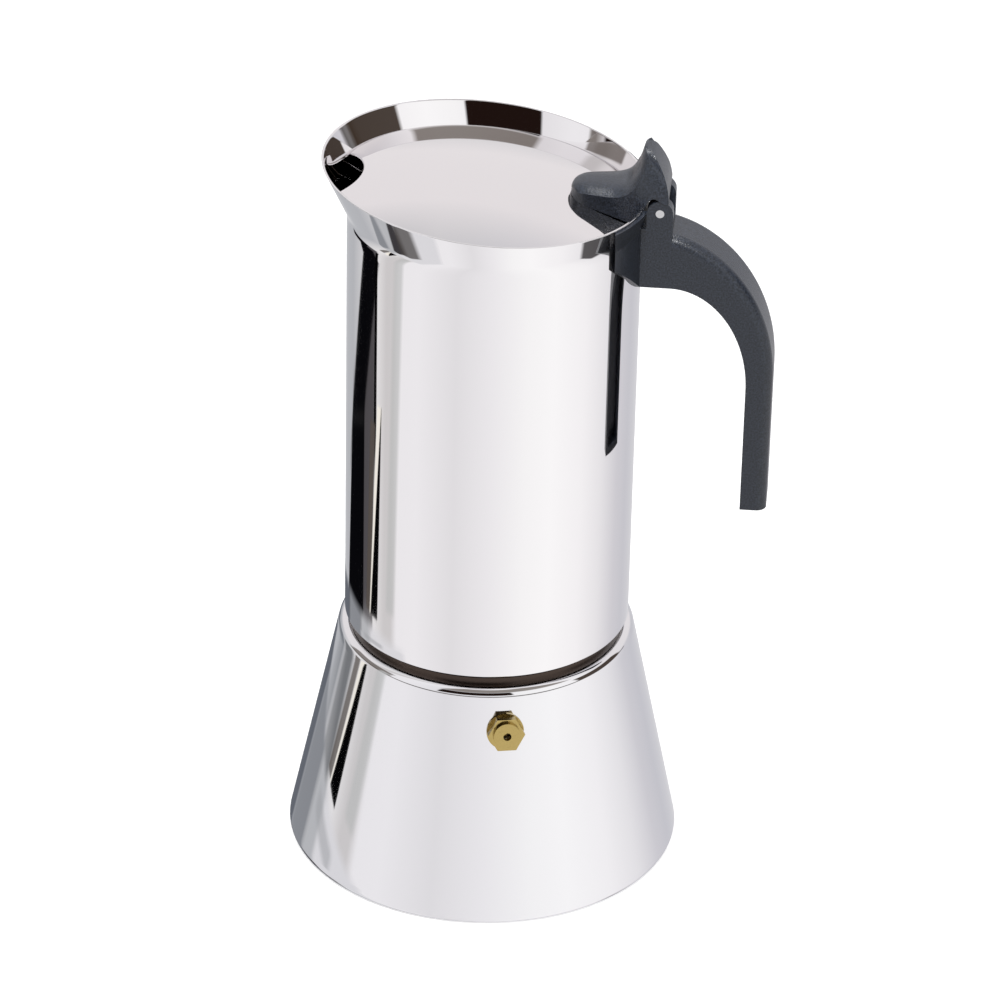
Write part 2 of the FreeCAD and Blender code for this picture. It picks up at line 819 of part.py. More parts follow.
def make_handle():
    """Moulded handle: clevis ears, block with saddle, and a hollow-backed grip."""
    half = size.handle_half_width.value
    solid = prism_along_y(grip_outline(0.0), half)
    solid = round_grip_back(solid)
    solid = solid.fuse(make_wings().cut(hinge_notch()))
    gap = size.saddle_gap.value
    solid = solid.cut(vessel_solid(-gap, block_foot.value - 1))
    channel = prism_along_y(grip_outline(size.grip_skin.value), size.grip_channel.value)
    solid = solid.cut(channel)
    solid = solid.cut(ear_slot())
    solid = solid.cut(pin_hole(size.pin_radius.value, half + 1))
    solid = solid.cut(bracket_shape(gap))
    solid = solid.cut(handle_screw_shape(gap))
    return shape_piece("handle", solid.removeSplitter())


def ear_slot():
    """Opening between the ears, where the lid's knuckle turns."""
    inner = ear_inner.value
    floor = hinge_z.value - size.ledge_drop.value
    corner = FreeCAD.Vector(size.vessel_radius.value - size.hinge_reach.value, -inner, floor)
    return Part.makeBox(4 * size.hinge_reach.value, 2 * inner, 4 * size.ear_radius.value, corner)


def pin_hole(radius, half_length):
    """A cylinder on the hinge's axis."""
    base = FreeCAD.Vector(hinge_x.value, -half_length, hinge_z.value)
    return Part.makeCylinder(radius, 2 * half_length, base, FreeCAD.Vector(0, 1, 0))


def bracket_shape(grow):
    """Welded plate with a tongue that the handle's block slides over."""
    radius = size.vessel_radius.value
    half = size.bracket_half_width.value + grow
    foot = block_foot.value + size.bracket_bottom.value - grow
    height = size.bracket_height.value + 2 * grow
    face = radius + size.bracket_sheet.value + grow
    plate = Part.makeBox(face - radius + 3, 2 * half, height, FreeCAD.Vector(radius - 3, -half, foot))
    plate = plate.cut(Part.makeCylinder(radius, 2 * height, FreeCAD.Vector(0, 0, foot - 1)))
    tongue_half = size.bracket_half_width.value * 0.6 + grow
    tongue_foot = foot + (height - size.tongue_thickness.value) / 2 - grow
    tongue = Part.makeBox(size.tongue_length.value + 1, 2 * tongue_half,
                          size.tongue_thickness.value + 2 * grow,
                          FreeCAD.Vector(face - 1, -tongue_half, tongue_foot))
    return plate.fuse(tongue).removeSplitter()


def handle_screw_axis():
    return hinge_x.value - size.ear_radius.value / 2 + 1


def handle_screw_shape(grow):
    """Screw from below: head in a recess, shank up into the bracket's tongue."""
    x = handle_screw_axis()
    recess = size.handle_screw_recess.value if grow == 0 else -1
    foot = block_foot.value + recess
    head_top = block_foot.value + size.handle_screw_recess.value + size.handle_screw_head_height.value + grow
    head = Part.makeCylinder(size.handle_screw_head.value + grow, head_top - foot, FreeCAD.Vector(x, 0, foot))
    bracket_foot = block_foot.value + size.bracket_bottom.value
    top = bracket_foot + size.bracket_height.value / 2
    shank = Part.makeCylinder(size.handle_screw_radius.value + grow, top - foot, FreeCAD.Vector(x, 0, foot))
    return head.fuse(shank).removeSplitter()


def make_handle_bracket():
    return shape_piece("handle_bracket", bracket_shape(0.0).cut(handle_screw_shape(0.0)))


def make_handle_screw():
    return shape_piece("handle_screw", handle_screw_shape(0.0))


def make_hinge_pin():
    """Steel pin, fast in the ears and free in the lid's knuckle."""
    pin = doc.addObject("Part::Cylinder", "hinge_pin")
    pin.Label = "hinge_pin"
    pin.setExpression("Radius", size.pin_radius.text)
    length = size.handle_half_width * 2
    pin.setExpression("Height", length.text)
    pin.Placement = FreeCAD.Placement(vector(hinge_x, -size.handle_half_width, hinge_z),
                                      FreeCAD.Rotation(FreeCAD.Vector(1, 0, 0), -90))
    return pin


# ---------------------------------------------------------------- lid

def lid_level(x, above):
    """Height of the lid's top face at x, raised by above."""
    slope = math.tan(math.radians(size.rim_tilt.value))
    return rim_height.value - size.lid_drop.value + above - slope * x


def lid_slab(bottom, top):
    """A wide tilted slab parallel to the rim, between two offsets of the lid's face."""
    reach = 2 * rim_radius.value
    corners = [FreeCAD.Vector(-reach, -reach, lid_level(-reach, bottom)),
               FreeCAD.Vector(reach, -reach, lid_level(reach, bottom)),
               FreeCAD.Vector(reach, -reach, lid_level(reach, top)),
               FreeCAD.Vector(-reach, -reach, lid_level(-reach, top))]
    return Part.Face(Part.makePolygon(corners + corners[:1])).extrude(FreeCAD.Vector(0, 2 * reach, 0))


def lid_disc_radius():
    """Radius of the lid where it lies inside the flare."""
    share = size.lid_drop.value / size.rim_rise.value
    return rim_radius.value - size.rim_flare.value * share - size.vessel_wall.value - size.lid_gap.value


def dome_radius():
    """Radius of the lid's shallow dome, from its crown and the disc's own radius."""
    disc = lid_disc_radius()
    crown = size.lid_crown.value
    return (disc * disc + crown * crown) / (2 * crown)


def dome_point(x, inward):
    """Point of the dome's face above the middle line at x, moved inward, and the
    direction square to the face there."""
    radius = dome_radius()
    tilt = math.radians(size.rim_tilt.value)
    middle_x = -size.rim_shift.value * 0.66
    deep = radius - size.lid_crown.value
    middle = FreeCAD.Vector(middle_x - deep * math.sin(tilt), 0,
                            lid_level(middle_x, 0.0) - deep * math.cos(tilt))
    across = (x - middle.x) / radius
    outward = FreeCAD.Vector(across, 0, math.sqrt(1 - across * across))
    return middle, middle + outward * (radius - inward), outward


def dome_ball(inward):
    """The whole ball whose top is the lid's face, shrunk by inward."""
    middle, face, outward = dome_point(0.0, 0.0)
    return Part.makeSphere(dome_radius() - inward, middle)


def make_lid_plate():
    """Polished shallow dome that lies in the flare, with the pouring cut-out at -X."""
    inset = size.vessel_wall.value + size.lid_gap.value
    plate = vessel_solid(inset, flare_foot.value - 8 * size.lid_sheet.value)
    plate = plate.common(dome_ball(0.0)).cut(dome_ball(size.lid_sheet.value))
    edge = -lid_disc_radius() - size.rim_shift.value * 0.36
    radius = size.pour_cut_radius.value
    centre = FreeCAD.Vector(edge + size.pour_cut_depth.value - radius, 0, flare_foot.value - 10)
    plate = plate.cut(Part.makeCylinder(radius, 4 * size.rim_rise.value, centre))
    plate = plate.cut(rivets_shape())
    return shape_piece("lid_plate", plate)


def knob_side_edges():
    """The knob seen from the side: tongue on the lid, scoop, lever and knuckle."""
    front = hinge_x.value - size.knob_reach.value
    top = lid_level(front, size.knob_top.value)
    tip = FreeCAD.Vector(hinge_x.value - size.knob_tip_x.value, 0, hinge_z.value + size.knob_tip_rise.value)
    tip_back = tip + FreeCAD.Vector(size.knob_tip_thickness.value, 0, 0)
    back = FreeCAD.Vector(hinge_x.value + size.knob_back_x.value, 0, hinge_z.value)
    lip = FreeCAD.Vector(front, 0, top)
    low = FreeCAD.Vector((front + tip.x) / 2, 0, top + size.knob_crown.value)
    heel = FreeCAD.Vector(tip.x - size.knob_scoop.value, 0, top + 2 * size.knob_crown.value)
    rise = FreeCAD.Vector(tip.x - size.knob_scoop.value * 0.3, 0, top + (tip.z - top) * 0.52)
    scoop = Part.BSplineCurve()
    scoop.interpolate([lip, low, heel, rise, tip])
    bulge_x = tip_back.x + (back.x - tip_back.x) * 0.82
    bulge = FreeCAD.Vector(bulge_x, 0, hinge_z.value + size.knob_tip_rise.value * 0.5)
    foot = FreeCAD.Vector(front, 0, lid_level(front, 0.0))
    pin = FreeCAD.Vector(hinge_x.value, 0, hinge_z.value)
    under_pin = pin - FreeCAD.Vector(0, 0, size.knuckle_radius.value)
    heel_x = hinge_x.value - size.knuckle_radius.value - size.knob_arc_gap.value
    heel_foot = FreeCAD.Vector(heel_x, 0, lid_level(heel_x, 0.0))
    return [scoop.toShape(), line(tip, tip_back), arc_through(tip_back, bulge, back),
            line(back, pin), line(pin, under_pin), line(under_pin, heel_foot),
            line(heel_foot, foot), line(foot, lip)]


def knob_hull():
    """Boat-shaped envelope: a keel on the lid under a broad rounded tongue."""
    front = hinge_x.value - size.knob_reach.value
    full = knob_half_width.value
    tip = size.knob_tip_half_width.value
    bow = size.knob_bow_half_width.value
    undercut = size.knob_undercut.value
    shoulder = size.knob_shoulder.value
    keel_z = lid_level(front, 0.0)
    deck_z = keel_z + size.knob_top.value * 0.93
    roof_z = hinge_z.value + size.knob_tip_rise.value + 1
    deck_side = [(0.0, bow), (shoulder * 0.14, full * 0.745), (shoulder / 2, full * 0.89), (shoulder, full)]
    keel_side = [(behind + undercut, half - undercut) for behind, half in deck_side]
    roof_side = [(0.0, bow), (shoulder * 0.14, tip), (shoulder / 2, tip), (shoulder, tip)]
    below = hull_wire(front, keel_side, keel_z - 3 * size.knuckle_radius.value)
    keel = hull_wire(front, keel_side, keel_z)
    deck = hull_wire(front, deck_side, deck_z)
    roof = hull_wire(front, roof_side, roof_z)
    solid = Part.makeLoft([below, keel], True, True)
    solid = solid.fuse(Part.makeLoft([keel, deck], True, True))
    return solid.fuse(Part.makeLoft([deck, roof], True, True))


def hull_wire(front, side, z):
    """Plan outline of the tongue at one height. Each pair of side is a distance behind
    the front and the half-width there; the last width runs on past the hinge."""
    back = hinge_x.value + 2 * size.ear_radius.value
    points = [(front + behind, half) for behind, half in side] + [(back, side[-1][1])]
    corners = [FreeCAD.Vector(x, -y, z) for x, y in reversed(points)]
    corners += [FreeCAD.Vector(x, y, z) for x, y in points]
    return Part.makePolygon(corners + corners[:1])


def make_lid_knob():
    """Thumb lever on the lid, with the knuckle that turns on the hinge pin."""
    wide = knob_half_width.value + 1
    solid = prism_along_y(knob_side_edges(), wide)
    solid = solid.common(knob_hull())
    knuckle = pin_hole(size.knuckle_radius.value, knuckle_half_width.value)
    reach = size.ear_radius.value + size.knob_arc_gap.value
    for side in (-1, 1):
        ear_room = Part.makeCylinder(reach, wide, FreeCAD.Vector(hinge_x.value, 0, hinge_z.value),
                                     FreeCAD.Vector(0, side, 0))
        ear_room = ear_room.fuse(Part.makeBox(3 * reach, wide, 3 * reach, FreeCAD.Vector(
            hinge_x.value - reach, 0 if side > 0 else -wide, hinge_z.value - 3 * reach)))
        ear_room.translate(FreeCAD.Vector(0, side * knuckle_half_width.value, 0))
        solid = solid.cut(ear_room)
    solid = solid.fuse(knuckle)
    below = lid_slab(-6 * size.knuckle_radius.value, 0.0).fuse(dome_ball(0.0))
    lid_side = Part.makeBox(hinge_x.value, 4 * wide, 8 * size.rim_rise.value, FreeCAD.Vector(
        -size.knuckle_radius.value - 1.2, -2 * wide, flare_foot.value - 4 * size.rim_rise.value))
    solid = solid.cut(below.common(lid_side))
    solid = solid.cut(pin_hole(size.pin_radius.value + size.pin_running_gap.value, wide))
    solid = solid.cut(rivets_shape())
    return shape_piece("lid_knob", solid.removeSplitter())


def rivets_shape():
    """Two rivets from under the lid, up into the knob."""
    group = []
    for reach in (size.rivet_front_reach.value, size.rivet_back_reach.value):
        x = hinge_x.value - reach
        middle, seat, normal = dome_point(x, size.lid_sheet.value)
        shank = Part.makeCylinder(size.rivet_radius.value, size.rivet_depth.value + size.lid_sheet.value,
                                  seat, normal)
        head = Part.makeCylinder(size.rivet_head.value, size.rivet_head_height.value, seat, normal * -1)
        group.append(shank.fuse(head).removeSplitter())
    return Part.makeCompound(group)


def make_lid_rivets():
    return shape_piece("lid_rivets", rivets_shape())


# ---------------------------------------------------------------- safety valve

def valve_placement():
    """Turns the valve's own +Z axis square to the cone, at its place on the wall."""
    rise = size.shoulder_height.value - size.shoulder_round.value - size.base_corner.value
    draw_in = size.base_radius.value - shoulder_radius.value
    lean = math.degrees(math.atan2(draw_in, rise))
    along = (size.valve_height.value - size.base_corner.value) / rise
    radius = size.base_radius.value - draw_in * along
    azimuth = math.radians(size.valve_azimuth.value)
    place = FreeCAD.Vector(radius * math.cos(azimuth), radius * math.sin(azimuth), size.valve_height.value)
    turn = FreeCAD.Rotation(FreeCAD.Vector(0, 0, 1), size.valve_azimuth.value)
    tip = FreeCAD.Rotation(FreeCAD.Vector(0, 1, 0), 90 - lean)
    return FreeCAD.Placement(place, turn.multiply(tip))


def hexagon(across_flats, height, foot):
    """A hexagonal prism on the valve's axis."""
    radius = across_flats / math.sqrt(3)
    corners = []
    for step in range(6):
        angle = math.radians(60 * step + 30)
        corners.append(FreeCAD.Vector(radius * math.cos(angle), radius * math.sin(angle), foot))
    return Part.Face(Part.makePolygon(corners + corners[:1])).extrude(FreeCAD.Vector(0, 0, height))


def cylinder(radius, foot, top):
    return Part.makeCylinder(radius, top - foot, FreeCAD.Vector(0, 0, foot))


def valve_inside():
    """Level of the wall's inner face along the valve's axis."""
    return -size.boiler_wall.value


def make_valve_body():
    """Brass body: collar on the wall, hexagon, round nose, and shank through the wall."""
    collar_top = size.valve_collar_height.value
    hex_top = collar_top + size.valve_hex_height.value
    nose_top = hex_top + size.valve_nose_height.value
    foot = valve_inside() - size.valve_shank_length.value
    solid = cylinder(size.valve_collar_radius.value, 0.0, collar_top)
    solid = solid.fuse(hexagon(size.valve_hex.value, size.valve_hex_height.value, collar_top))
    solid = solid.fuse(cylinder(size.valve_nose_radius.value, hex_top, nose_top))
    solid = solid.fuse(cylinder(size.valve_shank_radius.value, foot, 0.0))
    throat_top = foot + size.valve_throat.value
    solid = solid.cut(cylinder(size.valve_bore.value, throat_top, hex_top))
    solid = solid.cut(cylinder(size.valve_mouth.value, foot - 1, nose_top + 1))
    return valve_piece("valve_body", solid.removeSplitter())


def make_valve_seal():
    """Flat ring between the wall's inner face and the nut."""
    top = valve_inside()
    foot = top - size.valve_seal_height.value
    ring = cylinder(size.valve_nut_hex.value / 2, foot, top + size.valve_seal_height.value)
    ring = ring.cut(cylinder(size.valve_shank_radius.value, foot - 1, top + 2))
    ring.Placement = valve_placement()
    wall = size.boiler_wall.value
    low = size.base_corner.value
    rise = size.shoulder_height.value - size.shoulder_round.value - low
    inside = Part.makeCone(size.base_radius.value - wall, shoulder_radius.value - wall, rise,
                           FreeCAD.Vector(0, 0, low))
    return shape_piece("valve_seal", ring.common(inside))


def make_valve_nut():
    top = valve_inside() - size.valve_seal_height.value
    foot = top - size.valve_nut_height.value
    nut = hexagon(size.valve_nut_hex.value, size.valve_nut_height.value, foot)
    return valve_piece("valve_nut", nut.cut(cylinder(size.valve_shank_radius.value, foot - 1, top + 1)))


def plunger_seat():
    """Level of the seat that the plunger's head closes."""
    return valve_inside() - size.valve_shank_length.value + size.valve_throat.value


def make_valve_plunger():
    """Head on the seat, with a stem that guides the spring towards the mouth."""
    seat = plunger_seat()
    shoulder = seat + size.plunger_head.value
    stem_top = size.valve_collar_height.value + size.valve_hex_height.value - size.plunger_rise.value * 1.5
    solid = cylinder(size.plunger_radius.value, seat, shoulder)
    solid = solid.fuse(cylinder(size.plunger_stem.value, shoulder, stem_top))
    return valve_piece("valve_plunger", solid.removeSplitter())


def make_valve_spring():
    """Coil spring from the plunger's head to the roof of the bore."""
    wire = size.spring_wire.value
    foot = plunger_seat() + size.plunger_head.value + wire
    top = size.valve_collar_height.value + size.valve_hex_height.value - wire
    radius = size.valve_bore.value - 3 * wire
    pitch = (top - foot) / size.spring_coils.value
    path = Part.makeHelix(pitch, top - foot, radius)
    path.translate(FreeCAD.Vector(0, 0, foot))
    section = Part.Wire(Part.makeCircle(wire, FreeCAD.Vector(radius, 0, foot), FreeCAD.Vector(0, 1, 0)))
    coil = Part.Wire(path).makePipeShell([section], True, True)
    return valve_piece("valve_spring", coil)


def valve_piece(label, shape):
    piece = shape_piece(label, shape)
    piece.Placement = valve_placement()
    return piece


def cut_valve_hole(shell):
    """Replaces the plain shell by one with the valve's hole and flat seats."""
    hole = doc.addObject("Part::Cylinder", "valve_hole")
    hole.setExpression("Radius", size.valve_shank_radius.text)
    depth = size.valve_collar_radius * 2
    hole.setExpression("Height", depth.text)
    place = valve_placement()
    hole.Placement = place.multiply(FreeCAD.Placement(
        FreeCAD.Vector(0, 0, -size.valve_collar_radius.value), FreeCAD.Rotation()))
    drilled = doc.addObject("Part::Cut", "boiler_shell_drilled")
    drilled.Base = shell
    drilled.Tool = hole
    shell.Label = "boiler_shell_drawn"
    drilled.Label = "boiler_shell"
    doc.recompute()
    return drilled


# ---------------------------------------------------------------- the whole

def make_pieces():
    pieces = [cut_valve_hole(make_boiler_shell()), make_boiler_base(), make_boiler_neck()]
    pieces += [make_funnel_basket(), make_funnel_strainer(), make_funnel_stem()]
    pieces += [make_gasket(), make_filter_plate()]
    pieces += [make_collector_shell(), make_thread_ring(), make_collector_floor()]
    pieces += [make_column(), make_nozzle()]
    pieces += [make_handle(), make_handle_bracket(), make_handle_screw(), make_hinge_pin()]
    pieces += [make_lid_plate(), make_lid_knob(), make_lid_rivets()]
    pieces += [make_valve_body(), make_valve_seal(), make_valve_nut()]
    pieces += [make_valve_plunger(), make_valve_spring()]
    return pieces


def check_document():
    for entry in doc.Objects:
        if "Invalid" in entry.State or "Error" in entry.State:
            raise ValueError("%s did not recompute: %s" % (entry.Label, entry.State))


def write_pieces(pieces):
    os.makedirs(NODE_FOLDER, exist_ok=True)
    for piece in pieces:
        if piece.Shape.isNull() or not piece.Shape.isValid():
            raise ValueError("%s has no valid shape" % piece.Label)
    for piece in pieces:
        piece.Shape.exportStep("%s/%s.step" % (NODE_FOLDER, piece.Label))
        box = piece.Shape.BoundBox
        print("%-18s %2d solid  %10.1f mm3  z %7.2f to %7.2f" % (
            piece.Label, len(piece.Shape.Solids), piece.Shape.Volume, box.ZMin, box.ZMax))


all_pieces = make_pieces()
doc.recompute()
check_document()
write_pieces(all_pieces)
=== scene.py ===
# %% [markdown]
# # A stove-top coffee maker in polished steel
#
# The real pot is drawn from thin stainless sheet, polished until it mirrors the room,
# with a moulded plastic handle and thumb lever and a small turned brass safety valve.
# This lesson loads the exact engineering model as a fixed frame, replaces its thin
# sheet pieces with smoother surfaces worked out as arrays of numbers, and then gives
# every piece the finish that its real maker gave it.

# %% Load the fixed frame
import json
import math

import bpy
import numpy as np
from mathutils import Matrix, Vector


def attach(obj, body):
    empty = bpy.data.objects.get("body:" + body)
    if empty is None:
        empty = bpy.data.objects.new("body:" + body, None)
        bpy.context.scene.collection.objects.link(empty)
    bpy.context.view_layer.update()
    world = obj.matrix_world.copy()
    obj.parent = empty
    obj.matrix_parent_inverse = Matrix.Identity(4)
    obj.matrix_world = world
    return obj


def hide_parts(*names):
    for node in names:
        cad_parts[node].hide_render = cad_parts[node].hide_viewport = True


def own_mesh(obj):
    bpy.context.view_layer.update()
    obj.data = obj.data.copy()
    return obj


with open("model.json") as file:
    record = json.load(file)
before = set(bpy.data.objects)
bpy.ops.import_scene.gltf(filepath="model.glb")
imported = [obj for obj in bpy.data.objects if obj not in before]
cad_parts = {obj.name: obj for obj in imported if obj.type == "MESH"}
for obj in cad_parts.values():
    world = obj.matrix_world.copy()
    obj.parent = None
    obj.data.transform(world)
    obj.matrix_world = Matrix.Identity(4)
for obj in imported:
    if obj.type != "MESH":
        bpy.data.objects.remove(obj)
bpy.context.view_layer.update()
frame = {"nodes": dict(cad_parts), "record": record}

MM = 0.001
nodes = frame["nodes"]
print("pieces in the frame:", len(nodes))

# %% [markdown]
# ## Sizes
#
# The pot is a stack of round shells on one axis, so a few radii and heights describe
# it. They are kept in millimetres, as a toolmaker's drawing would give them, and are
# turned into metres where a surface is built.

# %% Name the sizes of the shells
FOOT_RADIUS = 60.0
FOOT_ROUND = 3.0
SHOULDER_RADIUS = 44.4
SHOULDER_HEIGHT = 73.2
NECK_RADIUS = 37.4
BOILER_WALL = 0.8
VESSEL_RADIUS = 43.0
VESSEL_WALL = 0.7
VESSEL_FOOT = 76.6
FLARE_FOOT = 210.2
RIM_RADIUS = 47.9
RIM_SHIFT = -2.8
RIM_HEIGHT = 221.5
RIM_TILT = math.radians(5.14)
RIM_SLOPE = math.tan(RIM_TILT)
LID_DROP = 6.5
LID_SHEET = 0.9
LID_RADIUS = 43.9
LID_CENTRE = -1.85
LID_CROWN = 5.6
DOME_RADIUS = (LID_RADIUS ** 2 + LID_CROWN ** 2) / (2 * LID_CROWN)
print("flare rises from", FLARE_FOOT, "to", RIM_HEIGHT, "mm")

# %% [markdown]
# ## Surfaces from arrays
#
# A mirror shows every flaw of a mesh, so the steel sheets are built on fine regular
# grids. A grid is an array of points with rows and columns, and each little square of
# it becomes one face. Sharp corners of an outline are first softened, because even a
# knife-thin edge of polished sheet is slightly round and catches a line of light.

# %% Turn a grid of points into a mesh
def grid_faces(rows, columns, wrap_rows, wrap_columns):
    """Each face joins point (i, j) to its neighbours (i+1, j), (i+1, j+1), (i, j+1);
    a wrapped direction joins its last line of points to its first."""
    i = np.arange(rows if wrap_rows else rows - 1)[:, None]
    j = np.arange(columns if wrap_columns else columns - 1)[None, :]
    i_next = (i + 1) % rows
    j_next = (j + 1) % columns
    corners = (i * columns + j, i_next * columns + j,
               i_next * columns + j_next, i * columns + j_next)
    return np.stack([c + 0 * (i + j) for c in corners], axis=-1).reshape(-1, 4)


def mesh_piece(name, points, faces, smooth=True):
    """Makes one object at the origin from points in millimetres and a face array."""
    mesh = bpy.data.meshes.new(name)
    mesh.from_pydata((np.asarray(points, float) * MM).tolist(), [], faces.tolist())
    mesh.polygons.foreach_set("use_smooth", np.full(len(faces), smooth))
    mesh.update()
    piece = bpy.data.objects.new(name, mesh)
    bpy.context.scene.collection.objects.link(piece)
    print(name, "has", len(faces), "faces")
    return piece


# %% Soften the corners of an outline
BEND_STEPS = np.linspace(0.0, 1.0, 9)
STRAIGHT_STEPS = np.array([0.02, 0.2, 0.4, 0.6, 0.8, 0.98])


def soften(outline, cut):
    """Replaces each corner of closed outlines by a parabola. The parabola through
    start S, corner C and end E is (1-t)^2 S + 2t(1-t) C + t^2 E, where S and E lie on
    the two sides at the distance cut from C. outline is (..., corners, 3)."""
    before = np.roll(outline, 1, axis=-2) - outline
    after = np.roll(outline, -1, axis=-2) - outline
    before_length = np.linalg.norm(before, axis=-1, keepdims=True)
    after_length = np.linalg.norm(after, axis=-1, keepdims=True)
    reach = np.minimum(np.minimum(before_length, after_length) * 0.45, cut[..., None])
    start = outline + before / before_length * reach
    end = outline + after / after_length * reach
    t = BEND_STEPS[:, None]
    start, end, corner = start[..., None, :], end[..., None, :], outline[..., None, :]
    bend = (1 - t) ** 2 * start + 2 * t * (1 - t) * corner + t ** 2 * end
    following = np.roll(start, -1, axis=-3)
    straight = end + STRAIGHT_STEPS[:, None] * (following - end)
    path = np.concatenate([bend, straight], axis=-2)
    return path.reshape(*outline.shape[:-2], -1, 3)


def turned(name, radii, heights, cuts, around=512):
    """A closed outline of (radius, height) corners carried round the Z axis: each
    point is (r cos a, r sin a, z) for the angles a of one full turn."""
    corners = np.stack([np.array(radii), 0 * np.array(radii), np.array(heights)], -1)
    path = soften(corners, np.array(cuts, float))
    angle = np.linspace(0.0, 2 * math.pi, around, endpoint=False)[:, None]
    points = np.stack([path[:, 0] * np.cos(angle), path[:, 0] * np.sin(angle),
                       path[:, 2] + 0 * angle], -1)
    faces = grid_faces(around, path.shape[0], True, True)
    return mesh_piece(name, points.reshape(-1, 3), faces)


# %% [markdown]
# ## The boiler's cone
#
# The lower vessel is one drawn sheet: a straight cone, rolled in at the foot and
# turned over a small round shoulder to the ring that carries the thread. A closed
# outline of the sheet, carried once round the axis, gives both of its faces.

# %% Build the boiler's shell
def build_boiler():
    """The sheet's outline runs up the outside and back down the inside."""
    foot = FOOT_RADIUS - FOOT_ROUND
    wall = BOILER_WALL
    lean = (FOOT_RADIUS - SHOULDER_RADIUS) / (SHOULDER_HEIGHT - FOOT_ROUND)
    low = FOOT_RADIUS + 0.25 * lean
    radii = [foot - 1.0, low, SHOULDER_RADIUS, NECK_RADIUS + 0.1, NECK_RADIUS + 0.1,
             SHOULDER_RADIUS - wall, low - wall, foot - 1.0]
    heights = [0.0, 0.0, SHOULDER_HEIGHT, SHOULDER_HEIGHT, SHOULDER_HEIGHT - wall,
               SHOULDER_HEIGHT - wall, wall, wall]
    cuts = [0.1, FOOT_ROUND, 2.8, 0.1, 0.1, 1.9, FOOT_ROUND - wall, 0.1]
    return turned("boiler_wall", radii, heights, cuts)


boiler_wall = build_boiler()
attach(boiler_wall, "boiler")
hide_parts("boiler_shell")

# %% [markdown]
# ## The collector and its flared rim
#
# The upper vessel is a straight tube whose top is spread into a tilted, slightly
# larger circle, higher on the pouring side. Straight lines from the level circle to
# the tilted one make that flare. Behind, the rim is cut away where the lid's hinge
# passes through, so the columns of the grid stop lower there.

# %% Build the collector's shell
NOTCH_HALF_WIDTH = 9.9
NOTCH_FLOOR = FLARE_FOOT + 0.1


def rim_point(angle, inset, drop):
    """A point of the tilted rim circle: centre (shift, 0), radius less the inset,
    height falling with x by the slope of the tilt."""
    radius = RIM_RADIUS - inset
    x = RIM_SHIFT + radius * np.cos(angle) * math.cos(RIM_TILT)
    y = radius * np.sin(angle)
    return np.stack([x, y, RIM_HEIGHT - RIM_SLOPE * x - drop], -1)


def ring_point(angle, radius, height):
    """A point of a level circle: (r cos a, r sin a, height)."""
    return np.stack([radius * np.cos(angle), radius * np.sin(angle), height + 0 * angle], -1)


def collector_angles():
    """Even steps round the tube, with a close pair of columns at each notch side."""
    side = math.asin(NOTCH_HALF_WIDTH / (VESSEL_RADIUS + 0.3))
    thin = math.radians(0.02)
    front = np.linspace(side + thin, 2 * math.pi - side - thin, 560)
    back = np.linspace(-side, side, 48)
    return np.concatenate([back, front]), 48


def build_collector():
    """Up the outside, over the rim and down the inside, for every column."""
    angle, notched = collector_angles()
    outer, inner = VESSEL_RADIUS, VESSEL_RADIUS - VESSEL_WALL
    outline = np.stack([ring_point(angle, outer, VESSEL_FOOT), ring_point(angle, outer, FLARE_FOOT),
                        rim_point(angle, 0.0, 0.0), rim_point(angle, VESSEL_WALL, 0.0),
                        ring_point(angle, inner, FLARE_FOOT),
                        ring_point(angle, inner, VESSEL_FOOT)], 1)
    cuts = np.tile([0.6, 2.2, 0.28, 0.28, 2.2, 0.2], (len(angle), 1))
    low = FLARE_FOOT - 4.0
    outline[:notched] = np.stack([
        ring_point(angle, outer, VESSEL_FOOT), ring_point(angle, outer, low),
        ring_point(angle, outer, NOTCH_FLOOR), ring_point(angle, inner, NOTCH_FLOOR),
        ring_point(angle, inner, low), ring_point(angle, inner, VESSEL_FOOT)], 1)[:notched]
    path = soften(outline, cuts)
    faces = grid_faces(len(angle), path.shape[1], True, True)
    return mesh_piece("collector_wall", path.reshape(-1, 3), faces)


collector_wall = build_collector()
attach(collector_wall, "upper")
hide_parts("collector_shell")

# %% [markdown]
# ## The lid
#
# The lid is a polished disc that lies inside the flare, parallel to the rim, with a
# round bite on the pouring side. It is pressed into a shallow dome, part of a large
# ball, so its reflections spread out. Rays from its centre to its outline give a round
# grid whose edge follows both arcs.

# %% Build the lid's disc
BITE_RADIUS = 18.5
BITE_CENTRE = -57.0


def lid_edge(angle):
    """Distance from the disc's centre to its outline: the disc's own radius, or the
    nearer crossing with the bite's circle, b - sqrt(b^2 - c), where the bite is met."""
    away = BITE_CENTRE - LID_CENTRE
    b = away * np.cos(angle)
    c = away ** 2 - BITE_RADIUS ** 2
    crossing = b - np.sqrt(np.maximum(b ** 2 - c, 0.0))
    meets = (b > 0) & (b ** 2 > c)
    return np.where(meets, np.minimum(crossing, LID_RADIUS), LID_RADIUS)


def lid_angles():
    """Even steps, with close pairs at the two corners where the arcs meet."""
    away = abs(BITE_CENTRE - LID_CENTRE)
    half = math.acos((LID_RADIUS ** 2 + away ** 2 - BITE_RADIUS ** 2) / (2 * LID_RADIUS * away))
    bite = np.linspace(math.pi - half, math.pi + half, 65)
    rest = np.linspace(math.pi + half, 3 * math.pi - half, 400)[1:-1]
    return np.concatenate([bite, rest])


def dome_rise(distance):
    """Height of a ball's cap over its edge: sqrt(R^2 - d^2) - (R - crown)."""
    return np.sqrt(DOME_RADIUS ** 2 - distance ** 2) - (DOME_RADIUS - LID_CROWN)


